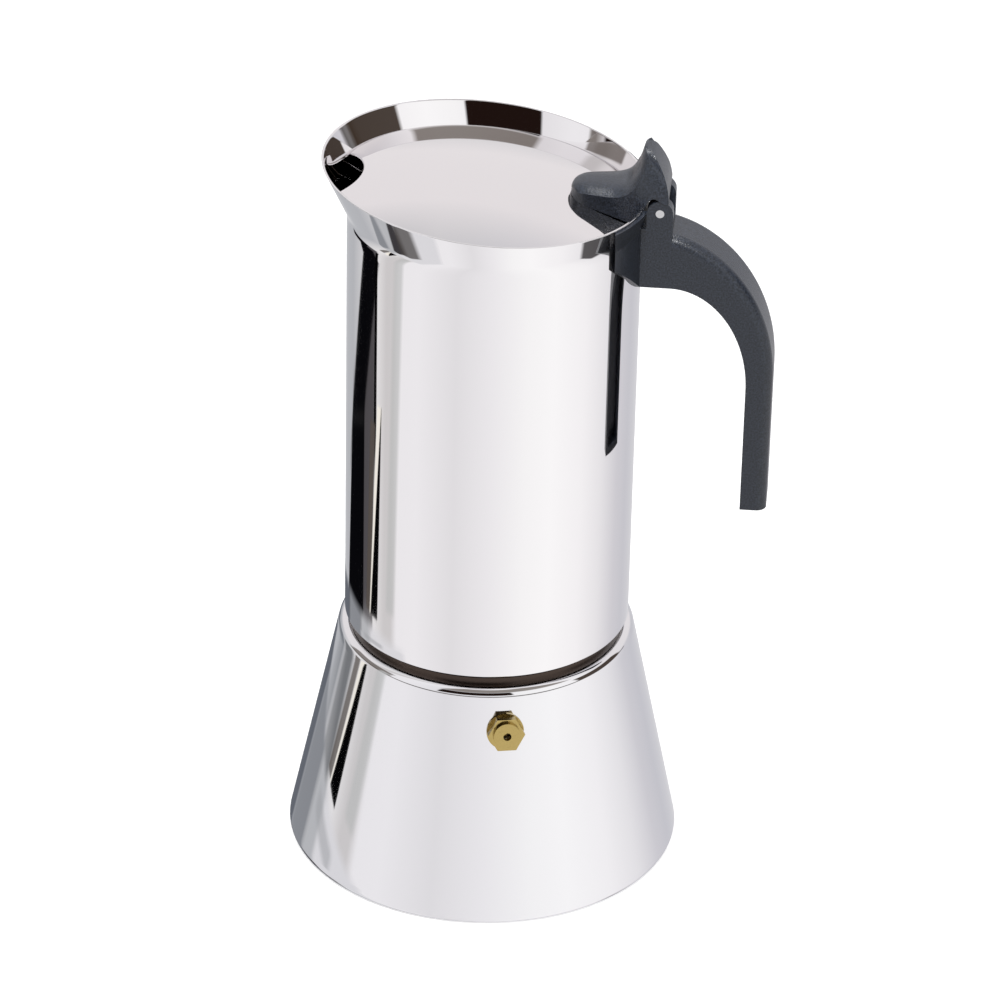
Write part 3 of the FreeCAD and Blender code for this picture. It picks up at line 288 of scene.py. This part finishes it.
def build_lid():
    """Rings at shares of the outline's distance, above and below the sheet."""
    angle = lid_angles()[:, None]
    edge = lid_edge(angle)
    rings = np.concatenate([[0.004, 2.0], np.arange(4.0, 41.0, 3.0)])
    top = np.concatenate([rings / LID_RADIUS * edge, edge - 0.5, edge - 0.2, edge - 0.06, edge], 1)
    edge_drops = [0.03, 0.12, 0.3]
    drop = np.concatenate([np.zeros(len(rings) + 1), edge_drops])[None, :] + 0 * top
    radius = np.concatenate([top, top[:, ::-1]], 1)
    depth = np.concatenate([drop, LID_SHEET - drop[:, ::-1]], 1)
    x = LID_CENTRE + radius * np.cos(angle)
    y = radius * np.sin(angle)
    z = RIM_HEIGHT - LID_DROP - RIM_SLOPE * x + dome_rise(radius) - depth
    faces = grid_faces(len(angle), radius.shape[1], True, False)[:, ::-1]
    caps = close_centre(len(angle), radius.shape[1])
    points = np.stack([x, y, z], -1).reshape(-1, 3)
    return mesh_piece("lid_disc", points, faces), caps


def close_centre(around, across):
    """The tiny first and last rings are closed by one many-sided face each."""
    first = np.arange(around) * across
    return first, first[::-1] + across - 1


lid_disc, lid_caps = build_lid()


# %% Close the disc's two centres
def add_polygons(piece, rings):
    """Adds one face over each ring of point numbers."""
    mesh = piece.data
    points = [tuple(v.co) for v in mesh.vertices]
    faces = [tuple(p.vertices) for p in mesh.polygons] + [tuple(map(int, r)) for r in rings]
    mesh.clear_geometry()
    mesh.from_pydata(points, [], faces)
    mesh.polygons.foreach_set("use_smooth", np.full(len(faces), True))
    mesh.update()


add_polygons(lid_disc, lid_caps)
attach(lid_disc, "lid")
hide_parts("lid_plate")
print("lid reaches from x =", LID_CENTRE - LID_RADIUS, "to", LID_CENTRE + LID_RADIUS, "mm")

# %% [markdown]
# ## The thumb lever
#
# The black lever is a moulded boat: a broad tongue stands on the lid, and behind it the
# tongue sweeps up into a thumb rest. It is drawn as a ribbon of cross-sections. Each
# section has a crowned top between two crisp side lines and straight sides down to a
# narrower foot, or, on the rest, back to a back of nearly the same width.

# %% The lever's cross-sections
# Each row: top x, top z, half-width of the top; underside x, z and half-width.
LEVER_ROWS = np.array([
    [22.05, 218.4, 0.3, 22.08, 217.9, 0.3], [22.2, 219.3, 2.6, 22.25, 217.3, 2.2],
    [22.95, 220.35, 4.7, 23.1, 216.7, 4.0], [24.4, 221.05, 6.3, 24.7, 216.1, 5.7],
    [26.5, 221.35, 7.3, 26.9, 215.6, 6.8], [29.5, 221.4, 8.0, 30.1, 214.9, 7.6],
    [32.5, 221.4, 8.6, 33.3, 214.1, 8.2], [35.3, 221.6, 9.0, 36.4, 213.2, 8.7],
    [37.9, 222.5, 9.2, 39.9, 212.2, 9.0], [39.6, 224.2, 9.2, 43.0, 212.0, 9.2],
    [40.8, 226.4, 9.0, 43.6, 214.2, 9.3], [41.7, 228.4, 8.6, 44.1, 217.9, 9.3],
    [42.2, 230.1, 8.0, 46.4, 220.3, 9.2], [42.6, 231.6, 7.4, 50.5, 218.6, 9.2],
    [42.85, 232.5, 6.8, 50.2, 223.4, 8.0], [43.05, 233.2, 6.0, 48.5, 228.0, 6.4],
    [43.35, 233.52, 4.8, 46.3, 231.7, 4.9], [43.8, 233.58, 3.2, 44.8, 233.2, 3.2]])


def smooth_rows(rows, steps):
    """Catmull-Rom: between rows B and C with neighbours A and D the value is
    (2B + (C-A)t + (2A-5B+4C-D)t^2 + (3B-A-3C+D)t^3) / 2."""
    padded = np.concatenate([2 * rows[:1] - rows[1:2], rows, 2 * rows[-1:] - rows[-2:-1]])
    a, b, c, d = (padded[k:len(rows) - 1 + k][:, None, :] for k in range(4))
    t = np.linspace(0.0, 1.0, steps, endpoint=False)[None, :, None]
    path = (2 * b + (c - a) * t + (2 * a - 5 * b + 4 * c - d) * t ** 2
            + (3 * b - a - 3 * c + d) * t ** 3) / 2
    return np.concatenate([path.reshape(-1, rows.shape[1]), rows[-1:]])


# %% Build the lever
CROWN = 1.5


def lever_sections(rows):
    """The loop of each section: over the crown from one side line to the other, where
    the height is lowered by crown * |v|^3 square to the sweep, then down one side,
    under the foot and up the other side."""
    top, under = rows[:, None, 0:2], rows[:, None, 3:5]
    top_half, under_half = rows[:, None, 2:3], rows[:, None, 5:6]
    sweep = np.gradient(rows[:, 0:2], axis=0)
    sweep = sweep / np.linalg.norm(sweep, axis=1, keepdims=True)
    inward = np.stack([sweep[:, 1], -sweep[:, 0]], -1)[:, None, :]
    depth = np.linalg.norm(under - top, axis=-1, keepdims=True)
    crown = np.minimum(CROWN, 0.3 * depth)
    v = np.sin(np.linspace(-math.pi / 2, math.pi / 2, 25))[None, :, None]
    arch = top + inward * crown * np.abs(v) ** 3
    over = np.concatenate([arch[..., 0:1], top_half * v, arch[..., 1:2]], -1)
    edge = over[:, -1:, :]
    foot = np.concatenate([under[..., 0:1], under_half, under[..., 1:2]], -1)
    share = np.linspace(0.0, 1.0, 12)[None, 1:, None]
    side = edge + (foot - edge) * share
    mirror = side[:, ::-1] * np.array([1.0, -1.0, 1.0])
    return np.concatenate([over, side, mirror], 1)


def build_lever():
    """The smoothed sections joined in order, with both ends closed."""
    sections = lever_sections(smooth_rows(LEVER_ROWS, 10))
    faces = grid_faces(sections.shape[0], sections.shape[1], False, True)
    ends = close_rows(sections.shape[0], sections.shape[1])
    piece = mesh_piece("thumb_lever", sections.reshape(-1, 3), faces)
    add_polygons(piece, ends)
    mark_sharp(piece, 38.0)
    return piece


def close_rows(rows, columns):
    """Point numbers of the first and last section, turned to face outwards."""
    first = np.arange(columns)
    return first[::-1], first + (rows - 1) * columns


def mark_sharp(piece, degrees_limit):
    """Faces that meet at more than the limit keep a crisp line between them."""
    piece.data.set_sharp_from_angle(angle=math.radians(degrees_limit))


thumb_lever = build_lever()
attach(thumb_lever, "lid")
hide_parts("lid_knob")

# %% [markdown]
# ## The valve's spring
#
# A fine coil inside the valve holds the plunger on its seat. It is wound again here,
# at the place and size of the engineering model's coil.

# %% Wind the spring
# The way out of the cone's wall: 77.6 degrees round from the handle, 12.7 degrees up.
VALVE_AXIS = np.array([0.209449, -0.952629, 0.220521])
SPRING_WIRE = 0.22
SPRING_TURNS = 4


def points_of(piece):
    """All points of a piece in the frame's millimetres, as an array."""
    local = np.empty(3 * len(piece.data.vertices))
    piece.data.vertices.foreach_get("co", local)
    place = np.array(piece.matrix_world)
    return (local.reshape(-1, 3) @ place[:3, :3].T + place[:3, 3]) / MM


def span(points, direction):
    """The lowest and highest reach of the points along a direction."""
    reach = points @ direction
    return float(reach.min()), float(reach.max())


def spring_grid(coil):
    """A round wire of radius w on a helix of radius R about the valve's axis a, with
    u and v square to it: c + (R + w cos s)(u cos t + v sin t) + a (z(t) + w sin s)."""
    across = np.cross(VALVE_AXIS, [0.0, 0.0, 1.0])
    across = across / np.linalg.norm(across)
    upward = np.cross(VALVE_AXIS, across)
    low_u, high_u = span(coil, across)
    low_v, high_v = span(coil, upward)
    foot, top = span(coil, VALVE_AXIS)
    radius = (high_u - low_u) / 2 - SPRING_WIRE
    centre = across * (low_u + high_u) / 2 + upward * (low_v + high_v) / 2
    t = np.linspace(0.0, 2 * math.pi * SPRING_TURNS, 48 * SPRING_TURNS + 1)[:, None, None]
    s = np.linspace(0.0, 2 * math.pi, 12, endpoint=False)[None, :, None]
    level = foot + SPRING_WIRE + (top - foot - 2 * SPRING_WIRE) * t / t.max()
    out = across * np.cos(t) + upward * np.sin(t)
    around = (radius + SPRING_WIRE * np.cos(s)) * out
    wire = centre + around + VALVE_AXIS * (level + SPRING_WIRE * np.sin(s))
    return wire, centre + VALVE_AXIS * top, top - foot


coil_grid, spring_roof, spring_length = spring_grid(points_of(nodes["valve_spring"]))
closing_spring = mesh_piece("closing_spring", coil_grid.reshape(-1, 3),
                            grid_faces(coil_grid.shape[0], coil_grid.shape[1], False, True))
first_ring, last_ring = close_rows(coil_grid.shape[0], coil_grid.shape[1])
add_polygons(closing_spring, (first_ring[::-1], last_ring[::-1]))
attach(closing_spring, "boiler")
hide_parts("valve_spring")
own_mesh(closing_spring)
print("the spring is", round(spring_length, 2), "mm long at rest")

# %% [markdown]
# ## Finishes
#
# Each finish is a small network of shader nodes. One function adds a node with its
# settings and links. Colours are written as sRGB hex values, as a paint card gives
# them, and one function turns them into the linear values that light is worked out in.

# %% Helpers for materials
def linear(hex_colour):
    """sRGB hex to linear: v / 12.92 below 0.04045, else ((v + 0.055) / 1.055) ^ 2.4."""
    v = np.array([int(hex_colour[i:i + 2], 16) / 255 for i in (0, 2, 4)])
    v = np.where(v <= 0.04045, v / 12.92, ((v + 0.055) / 1.055) ** 2.4)
    return (*v.tolist(), 1.0)


def add_node(tree, kind, links=(), **settings):
    """Adds one node; links is a list of (input name, output socket), and settings are
    the node's own properties, or its inputs when the name matches an input."""
    node = tree.nodes.new(kind)
    for key, value in settings.items():
        if hasattr(node, key):
            setattr(node, key, value)
        else:
            node.inputs[key.replace("_", " ")].default_value = value
    for key, socket in links:
        tree.links.new(socket, node.inputs[key])
    return node


def new_material(name):
    """An empty material and its node tree."""
    material = bpy.data.materials.new(name)
    material.use_nodes = True
    material.node_tree.nodes.clear()
    return material, material.node_tree


def finish_material(tree, shader):
    """Leads the shader to the surface."""
    add_node(tree, "ShaderNodeOutputMaterial", [("Surface", shader.outputs[0])])


def object_pattern(tree, kind, scale, stretch=(1, 1, 1), **settings):
    """A noise on the piece's own coordinates, stretched along the given axes."""
    place = add_node(tree, "ShaderNodeTexCoord")
    mapping = add_node(tree, "ShaderNodeMapping", [("Vector", place.outputs["Object"])],
                       Scale=stretch)
    return add_node(tree, kind, [("Vector", mapping.outputs["Vector"])], Scale=scale, **settings)


# %% [markdown]
# ### Mirror-polished stainless steel
#
# Stainless sheet polished on soft wheels mirrors the room almost perfectly, a little
# darker and warmer than silver. Only very faint wheel lines and smears of handling
# keep it from looking like chrome plate, so roughness is low and barely varies.

# %% Polished steel
def polished_steel(name, colour, roughness):
    """Bare metal whose blur rises by 0.03 in broad upright smears."""
    material, tree = new_material(name)
    smear = object_pattern(tree, "ShaderNodeTexNoise", 45.0, (1, 1, 0.35), Detail=3.0)
    blur = add_node(tree, "ShaderNodeMapRange", [("Value", smear.outputs["Fac"])])
    blur.inputs["From Min"].default_value = 0.35
    blur.inputs["From Max"].default_value = 0.75
    blur.inputs["To Min"].default_value = roughness
    blur.inputs["To Max"].default_value = roughness + 0.03
    shader = add_node(tree, "ShaderNodeBsdfPrincipled", [("Roughness", blur.outputs["Result"])],
                      Metallic=1.0)
    shader.inputs["Base Color"].default_value = linear(colour)
    finish_material(tree, shader)
    return material


# %% [markdown]
# ### Satin steel, brass, plastic, silicone and fibre
#
# Turned and pressed inner parts are left satin, with fine lathe lines. The valve is
# turned brass. Handle and lever are moulded in black phenolic with a fine grain. The
# gasket is pale silicone and the valve's washer is pressed fibre. These three moulded
# finishes get a mottled tone with painted shade in the hollows of the grain and painted
# light on its tops. The neck lies in the shadow of the joint between the vessels, so its
# steel is made darker.

# %% Satin metals
LATHE_STRETCH = (0.04, 0.04, 1.0)


def satin_metal(name, colour, roughness, line_spacing_mm, stretch=LATHE_STRETCH, depth_mm=0.03):
    """Fine rings of height along Z, one per lathe feed, drawn coarse enough to show. An
    even stretch gives the small dents of a part that is tumbled after turning."""
    material, tree = new_material(name)
    lines = object_pattern(tree, "ShaderNodeTexNoise", 1.0 / (line_spacing_mm * MM),
                           stretch, Detail=2.0)
    bump = add_node(tree, "ShaderNodeBump", [("Height", lines.outputs["Fac"])], Strength=0.25)
    bump.inputs["Distance"].default_value = depth_mm * MM
    shader = add_node(tree, "ShaderNodeBsdfPrincipled", [("Normal", bump.outputs["Normal"])],
                      Metallic=1.0, Roughness=roughness)
    shader.inputs["Base Color"].default_value = linear(colour)
    finish_material(tree, shader)
    return material


# %% Moulded and pressed materials
def moulded(name, colour, mottle_and_painted_light_colour, roughness, ior, grain_mm, depth_mm):
    """A spark-eroded mould leaves small even bumps; a mottled tone follows their height, painted
    shade in the hollows and painted light on the tops.
    """
    material, tree = new_material(name)
    grain = object_pattern(tree, "ShaderNodeTexNoise", 1.0 / (grain_mm * MM), Detail=3.0)
    # Painted shade and light: the colour is darkest in the grain's hollows and lightest on its
    # tops, following the bump's height, which also mottles the tone.
    painted_grain_shade = add_node(tree, "ShaderNodeMapRange", [("Value", grain.outputs["Fac"])])
    painted_grain_shade.inputs["From Min"].default_value = 0.36
    painted_grain_shade.inputs["From Max"].default_value = 0.64
    mottle_and_painted_shade = add_node(tree, "ShaderNodeMix", [("Factor", painted_grain_shade.outputs["Result"])], data_type="RGBA")
    mottle_and_painted_shade.inputs[6].default_value = linear(colour)
    mottle_and_painted_shade.inputs[7].default_value = linear(mottle_and_painted_light_colour)
    bump = add_node(tree, "ShaderNodeBump", [("Height", grain.outputs["Fac"])], Strength=0.8)
    bump.inputs["Distance"].default_value = depth_mm * MM
    shader = add_node(tree, "ShaderNodeBsdfPrincipled",
                      [("Base Color", mottle_and_painted_shade.outputs[2]), ("Normal", bump.outputs["Normal"])],
                      Roughness=roughness, IOR=ior)
    finish_material(tree, shader)
    return material


# %% Give every piece its finish
mirror_boiler = polished_steel("polished_steel_boiler", "E9E8EA", 0.03)
mirror_collector = polished_steel("polished_steel_collector", "ECEAEB", 0.02)
mirror_lid = polished_steel("polished_steel_lid", "ECE9EA", 0.03)
satin_steel = satin_metal("satin_steel", "B9B6B2", 0.28, 0.5)
bright_steel = satin_metal("drawn_steel", "CFCFCF", 0.2, 0.3)
neck_steel = satin_metal("shadowed_steel", "4A403A", 0.3, 0.4)
brass = satin_metal("turned_brass", "B8A266", 0.17, 1.3, (1, 1, 1), 0.25)
# Each moulded finish has two colours: the darker one is painted shade in the grain's hollows, the
# lighter one painted light on its tops.
phenolic = moulded("black_phenolic", "0B0E13", "1D2129", 0.28, 1.47, 0.5, 0.1)
silicone = moulded("silicone_rubber", "D8D6CF", "E2E0DA", 0.5, 1.42, 0.6, 0.02)
fibre = moulded("pressed_fibre", "6A2C20", "7C3A2A", 0.7, 1.5, 0.2, 0.03)
FINISH = {
    "boiler_steel": mirror_boiler, "collector_steel": mirror_collector, "lid_steel": mirror_lid,
    "inner_steel": satin_steel, "hinge_steel": bright_steel, "handle_plastic": phenolic,
    "gasket_rubber": silicone, "valve_brass": brass, "valve_fibre": fibre,
}
slot_of = {entry["node"]: entry["material_slot"] for entry in frame["record"]["subparts"]}


def give_finish(piece, material):
    """The piece wears this one material all over."""
    piece.data.materials.clear()
    piece.data.materials.append(material)


for node_name, node_object in nodes.items():
    give_finish(node_object, FINISH[slot_of[node_name]])
give_finish(nodes["boiler_neck"], neck_steel)
give_finish(boiler_wall, mirror_boiler)
give_finish(collector_wall, mirror_collector)
give_finish(lid_disc, mirror_lid)
give_finish(thumb_lever, phenolic)
give_finish(closing_spring, bright_steel)
print("finishes:", len(FINISH))

# %% [markdown]
# ## The studio
#
# Polished steel has no look of its own: it shows what stands round it. A studio puts
# up a white tent and hangs a few dark flags in it, so that the metal gets clean grey
# gradients with crisp dark edges. Here the world plays that tent. Its colour depends
# on the direction alone: a slow ramp round the horizon, and a table of soft dark flags
# on top. Only mirror rays see the flags; soft light comes evenly. A long lens looks
# down on the pot from well above its rim.

# %% Camera
FOCAL_LENGTH = 178.4
SENSOR_WIDTH = 36.0
CAMERA_PLACE = np.array([107.12, -1289.29, 845.6]) * MM
CAMERA_TARGET = np.array([3.36, 0.27, 112.73]) * MM
CAMERA_ROLL = math.radians(1.28)


def camera_matrix(place, target, roll):
    """Columns are the camera's right, up and backward directions; the roll turns
    right towards up."""
    forward = (target - place) / np.linalg.norm(target - place)
    level = np.cross(forward, [0.0, 0.0, 1.0])
    level = level / np.linalg.norm(level)
    upright = np.cross(level, forward)
    right = math.cos(roll) * level + math.sin(roll) * upright
    up = math.cos(roll) * upright - math.sin(roll) * level
    matrix = np.eye(4)
    matrix[:3, 0], matrix[:3, 1], matrix[:3, 2], matrix[:3, 3] = right, up, -forward, place
    return Matrix(matrix.tolist())


camera_data = bpy.data.cameras.new("studio_camera")
camera_data.lens = FOCAL_LENGTH
camera_data.sensor_width = SENSOR_WIDTH
camera_data.clip_start = 0.05
camera_data.clip_end = 30.0
camera = bpy.data.objects.new("studio_camera", camera_data)
bpy.context.scene.collection.objects.link(camera)
camera.matrix_world = camera_matrix(CAMERA_PLACE, CAMERA_TARGET, CAMERA_ROLL)
bpy.context.scene.camera = camera
print("camera stands", round(float(np.linalg.norm(CAMERA_PLACE - CAMERA_TARGET)), 3), "m away")

# %% The world's direction as two angles
FRONT_AZIMUTH = -85.25
world = bpy.data.worlds.new("studio_tent")
bpy.context.scene.world = world
world.use_nodes = True
sky = world.node_tree
sky.nodes.clear()


def calculator(tree):
    """A function that adds one arithmetic node to the tree; each operand is a number
    or a socket."""
    def operate(operation, *operands, clamp=False):
        node = add_node(tree, "ShaderNodeMath", operation=operation, use_clamp=clamp)
        for index, operand in enumerate(operands):
            if isinstance(operand, (int, float)):
                node.inputs[index].default_value = operand
            else:
                tree.links.new(operand, node.inputs[index])
        return node.outputs[0]
    return operate


def bearing_of(operate, parts):
    """atan2(y, x) in degrees, counted from the viewer's side, from -180 to 180."""
    turn = operate("ARCTAN2", parts.outputs["Y"], parts.outputs["X"])
    degrees = operate("MULTIPLY", turn, 180 / math.pi)
    return operate("WRAP", operate("SUBTRACT", degrees, FRONT_AZIMUTH), 180.0, -180.0)


maths = calculator(sky)
direction = add_node(sky, "ShaderNodeTexCoord").outputs["Generated"]
sky_parts = add_node(sky, "ShaderNodeSeparateXYZ", [("Vector", direction)])
bearing = bearing_of(maths, sky_parts)
height = maths("MULTIPLY", maths("ARCSINE", sky_parts.outputs["Z"]), 180 / math.pi)
print("bearing 0 is the viewer's side")

# %% The ramp round the horizon
TENT_RAMP = [(-180, "D0D0D2"), (-160, "B4B6BA"), (-142, "B4B6BA"), (-104, "E9E8E8"),
             (-92, "D0CECE"), (-84, "D0CECE"), (-78, "F0EFF1"), (-60, "F1F0F2"),
             (-28, "E5E4E6"), (0, "F0EFF1"), (28, "FBFBFB"), (50, "FFFFFF"),
             (78, "F9F8F9"), (100, "EBEAEC"), (122, "D2D1D6"), (140, "C8C8CE"),
             (165, "CECED2"), (180, "D0D0D2")]
ramp = add_node(sky, "ShaderNodeValToRGB",
                [("Fac", maths("DIVIDE", maths("ADD", bearing, 180.0), 360.0))])
stops = ramp.color_ramp.elements
for index, (angle_at, tone_at) in enumerate(TENT_RAMP):
    share = (angle_at + 180) / 360
    stop = stops[index] if index < 2 else stops.new(share)
    stop.position = share
    stop.color = linear(tone_at)
print("stops in the ramp:", len(stops))

# %% The flags
# Each flag: bearing from and to, how far each of those two edges leans per degree of
# height, height from and to, softness in degrees, its colour, and its cover.
FLAGS = [
    (-180, -146, 0, 0, -25.0, -6, 4.0, "5F636B", 1.0),
    (-148, -130, 0, 0, -25.0, -6, 4.0, "7A7E83", 1.0),
    (-132, -112, 0, 0, -25.0, -6, 5.0, "66696C", 0.9),
    (-122, -105, 0, 0, -32.2, -24.5, 1.5, "3C383C", 0.95),
    (-157, -119, 4.1, 0, -31.9, -27.9, 0.8, "08080B", 1.0),
    (-151.6, -127.6, 10.7, 10.8, -29.3, -24.5, 0.8, "08080B", 1.0),
    (-106.5, -102.3, 0, 0, -29.6, -24.5, 0.6, "050506", 1.0),
    (-120, 125, 0, 0, 0, 7, 2.0, "3A342E", 0.85),
    (-200, -95, 0, 0, 2, 52, 14.0, "E9E6E7", 0.95),
    (95, 200, 0, 0, 2, 52, 14.0, "E9E6E7", 0.95),
    (-36, 22, 0, 0, 12, 40, 2.0, "1E1310", 1.0),
    (70, 118, 0, 0, 2, 30, 3.0, "3A2E24", 0.97),
    (-118, -72, 0, 0, 0, 30, 3.0, "5A5048", 0.8),
    (-40, 80, 0, 0, 38, 80, 6.0, "6E655C", 0.85),
    (94, 120, 0, 0, -57, -43, 3.0, "241F20", 0.9),
]


def window(operate, value, low, high, soft):
    """1 between low and high, falling to 0 over the soft edge on both sides."""
    rise = operate("DIVIDE", operate("SUBTRACT", value, low), soft, clamp=True)
    fall = operate("DIVIDE", operate("SUBTRACT", high, value), soft, clamp=True)
    return operate("MULTIPLY", rise, fall)


def leaning(operate, edge, lean, level, foot):
    """An edge that leans: its bearing is edge + lean * (level - foot)."""
    if lean == 0:
        return edge
    return operate("ADD", operate("MULTIPLY", operate("SUBTRACT", level, foot), lean), edge)


def flag_mask(operate, around, level, row):
    """How much one flag covers at a bearing and a height."""
    low_b, high_b, low_lean, high_lean, low_h, high_h, soft, colour, cover = row
    left = leaning(operate, low_b, low_lean, level, low_h)
    right = leaning(operate, high_b, high_lean, level, low_h)
    across = window(operate, around, left, right, soft)
    upright = window(operate, level, low_h, high_h, soft)
    return operate("MULTIPLY", operate("MULTIPLY", across, upright), cover)


tent = ramp.outputs["Color"]
for row in FLAGS:
    mix = add_node(sky, "ShaderNodeMix", [("Factor", flag_mask(maths, bearing, height, row))],
                   data_type="RGBA")
    sky.links.new(tent, mix.inputs[6])
    mix.inputs[7].default_value = linear(row[7])
    tent = mix.outputs[2]
print("flags in the tent:", len(FLAGS))

# %% White backdrop, mirrored tent, even soft light
TENT_STRENGTH = 1.12
SOFT_LIGHT = 0.62
light_path = add_node(sky, "ShaderNodeLightPath")
backdrop = add_node(sky, "ShaderNodeBackground", Strength=1.0)
mirrored = add_node(sky, "ShaderNodeBackground", [("Color", tent)], Strength=TENT_STRENGTH)
soft = add_node(sky, "ShaderNodeBackground", Strength=SOFT_LIGHT)
backdrop.inputs["Color"].default_value = linear("FFFFFF")
soft.inputs["Color"].default_value = linear("FFFFFF")
seen = maths("MAXIMUM", light_path.outputs["Is Glossy Ray"],
             light_path.outputs["Is Transmission Ray"])
lit = add_node(sky, "ShaderNodeMixShader",
               [("Fac", seen), (1, soft.outputs[0]), (2, mirrored.outputs[0])])
whole = add_node(sky, "ShaderNodeMixShader",
                 [("Fac", light_path.outputs["Is Camera Ray"]), (1, lit.outputs[0]),
                  (2, backdrop.outputs[0])])
add_node(sky, "ShaderNodeOutputWorld", [("Surface", whole.outputs[0])])
print("soft light level:", SOFT_LIGHT)

# %% [markdown]
# ## Floor and lamps
#
# The pot stands on a seamless white table. For the camera the table is lifted to plain
# white, and it still takes the pot's faint shadow. Mirror rays pass it by and see the
# tent, as they would over a glossy white table. Two large softboxes light the whole
# pot, and two smaller ones shine on the plastic alone and give it soft edge light.

# %% Floor
FLOOR_HALF = 2500.0
FLOOR_LEVEL = -0.15
WHITE_LIFT = 0.35
corner_signs = np.array([[-1, -1], [1, -1], [1, 1], [-1, 1]])
floor_points = np.column_stack([corner_signs * FLOOR_HALF, np.full(4, FLOOR_LEVEL)])
floor = mesh_piece("table_top", floor_points, np.array([[0, 1, 2, 3]]), smooth=False)
floor_material, floor_tree = new_material("white_table")
table = add_node(floor_tree, "ShaderNodeBsdfDiffuse")
table.inputs["Color"].default_value = linear("F4F4F4")
lift = add_node(floor_tree, "ShaderNodeEmission")
lift.inputs["Color"].default_value = linear("FFFFFF")
path = add_node(floor_tree, "ShaderNodeLightPath")
amount = calculator(floor_tree)("MULTIPLY", path.outputs["Is Camera Ray"], WHITE_LIFT)
floor_tree.links.new(amount, lift.inputs["Strength"])
both = add_node(floor_tree, "ShaderNodeAddShader", [(0, table.outputs[0]), (1, lift.outputs[0])])
finish_material(floor_tree, both)
give_finish(floor, floor_material)
floor.visible_glossy = False
print("floor's level:", FLOOR_LEVEL, "mm")

# %% [markdown]
# ### Cards close to the pot
#
# A few narrow cards stand near the pot on its left. Being close, they show in both
# vessels as upright streaks that stop short of the foot, where grey and white cards
# stand for the table. Dark ones below show in the flare. All hang on a round wall that
# only mirror rays can see.

# %% The wall of cards
CARD_WALL_RADIUS = 250.0
WALL_COLUMNS = 64
WALL_ROWS = 12
# Bearing from and to, lean of both edges per mm, height from and to in mm, softness,
# colour and cover, as for the flags.
CARDS = [
    (-107, -100, 0.05, 0.06, -46, 32, 1.5, "57504A", 0.85),
    (-102.0, -95.8, 0.09, 0.09, -46, 40, 0.9, "F4F0E6", 1.0),
    (-100.8, -91.6, 0.13, 0.035, -46, 40, 0.6, "050506", 1.0),
    (-84, -73, 0.04, 0.04, -40, 140, 3.0, "BFC1C0", 0.7),
    (-178, -136, 0, 0, -400, -48, 5.0, "62666E", 1.0),
    (-141, -112, 0, 0, -400, -48, 5.0, "8A8D92", 1.0),
    (-117, -98, 0, 0, -400, -48, 5.0, "B9BBBE", 1.0),
    (-104, -62, 0, 0, -400, -48, 5.0, "DEDEE1", 1.0),
    (-112, -85, 0.05, 0.05, -68, -55, 4.0, "A4A6A9", 0.6),
    (-121, -97, 0, 0, -185, -105, 5.0, "2A272A", 0.95),
    (-106, -84, 0, 0, -240, -130, 5.0, "4A4644", 0.85),
]


def build_card_wall():
    """A round strip of wall: (R cos a, R sin a, z) for a grid of angles and heights."""
    angle = np.radians(np.linspace(FRONT_AZIMUTH - 180, FRONT_AZIMUTH - 55, WALL_COLUMNS))[:, None]
    level = np.linspace(-420.0, 130.0, WALL_ROWS)[None, :]
    points = np.stack([CARD_WALL_RADIUS * np.cos(angle) + 0 * level,
                       CARD_WALL_RADIUS * np.sin(angle) + 0 * level, level + 0 * angle], -1)
    faces = grid_faces(WALL_COLUMNS, WALL_ROWS, False, False)
    return mesh_piece("card_wall", points.reshape(-1, 3), faces)


card_wall = build_card_wall()
card_material, card_tree = new_material("cards")
card_maths = calculator(card_tree)
spot = add_node(card_tree, "ShaderNodeTexCoord").outputs["Object"]
spot_parts = add_node(card_tree, "ShaderNodeSeparateXYZ", [("Vector", spot)])
card_bearing = bearing_of(card_maths, spot_parts)
card_height = card_maths("MULTIPLY", spot_parts.outputs["Z"], 1 / MM)
layers = add_node(card_tree, "ShaderNodeBsdfTransparent").outputs[0]
for row in CARDS:
    shine = add_node(card_tree, "ShaderNodeEmission", Strength=TENT_STRENGTH)
    shine.inputs["Color"].default_value = linear(row[7])
    mask = flag_mask(card_maths, card_bearing, card_height, row)
    layers = add_node(card_tree, "ShaderNodeMixShader",
                      [("Fac", mask), (1, layers), (2, shine.outputs[0])]).outputs[0]
add_node(card_tree, "ShaderNodeOutputMaterial", [("Surface", layers)])
give_finish(card_wall, card_material)
for sight in ("visible_camera", "visible_diffuse", "visible_transmission", "visible_shadow"):
    setattr(card_wall, sight, False)
print("cards on the wall:", len(CARDS))


# %% Softboxes
POT_MIDDLE = (0, 0, 110)


def softbox(name, place_mm, size_mm, watts, only_for=()):
    """A square area lamp that faces the middle of the pot. When pieces are given in
    only_for, it lights those alone and may shine in them."""
    data = bpy.data.lights.new(name, "AREA")
    data.shape = "SQUARE"
    data.size = size_mm * MM
    data.energy = watts
    lamp = bpy.data.objects.new(name, data)
    bpy.context.scene.collection.objects.link(lamp)
    place = Vector(place_mm) * MM
    aim = Vector(POT_MIDDLE) * MM - place
    turn = aim.to_track_quat("-Z", "Y").to_matrix().to_4x4()
    lamp.matrix_world = Matrix.Translation(place) @ turn
    lamp.visible_glossy = len(only_for) > 0
    if only_for:
        receivers = bpy.data.collections.new(name + "_receivers")
        for piece in only_for:
            receivers.objects.link(piece)
        lamp.light_linking.receiver_collection = receivers
    return lamp


softbox("softbox_over", (-150, -250, 1500), 1000, 11.0)
softbox("softbox_right", (1300, -500, 900), 800, 5.0)
plastic_pieces = (nodes["handle"], thumb_lever)
softbox("softbox_handle", (60, -750, 1400), 420, 48.0, plastic_pieces)
softbox("softbox_behind", (150, 420, 1400), 500, 7.0, plastic_pieces)

# %% Picture settings and the end
bpy.context.scene.view_settings.view_transform = "Standard"
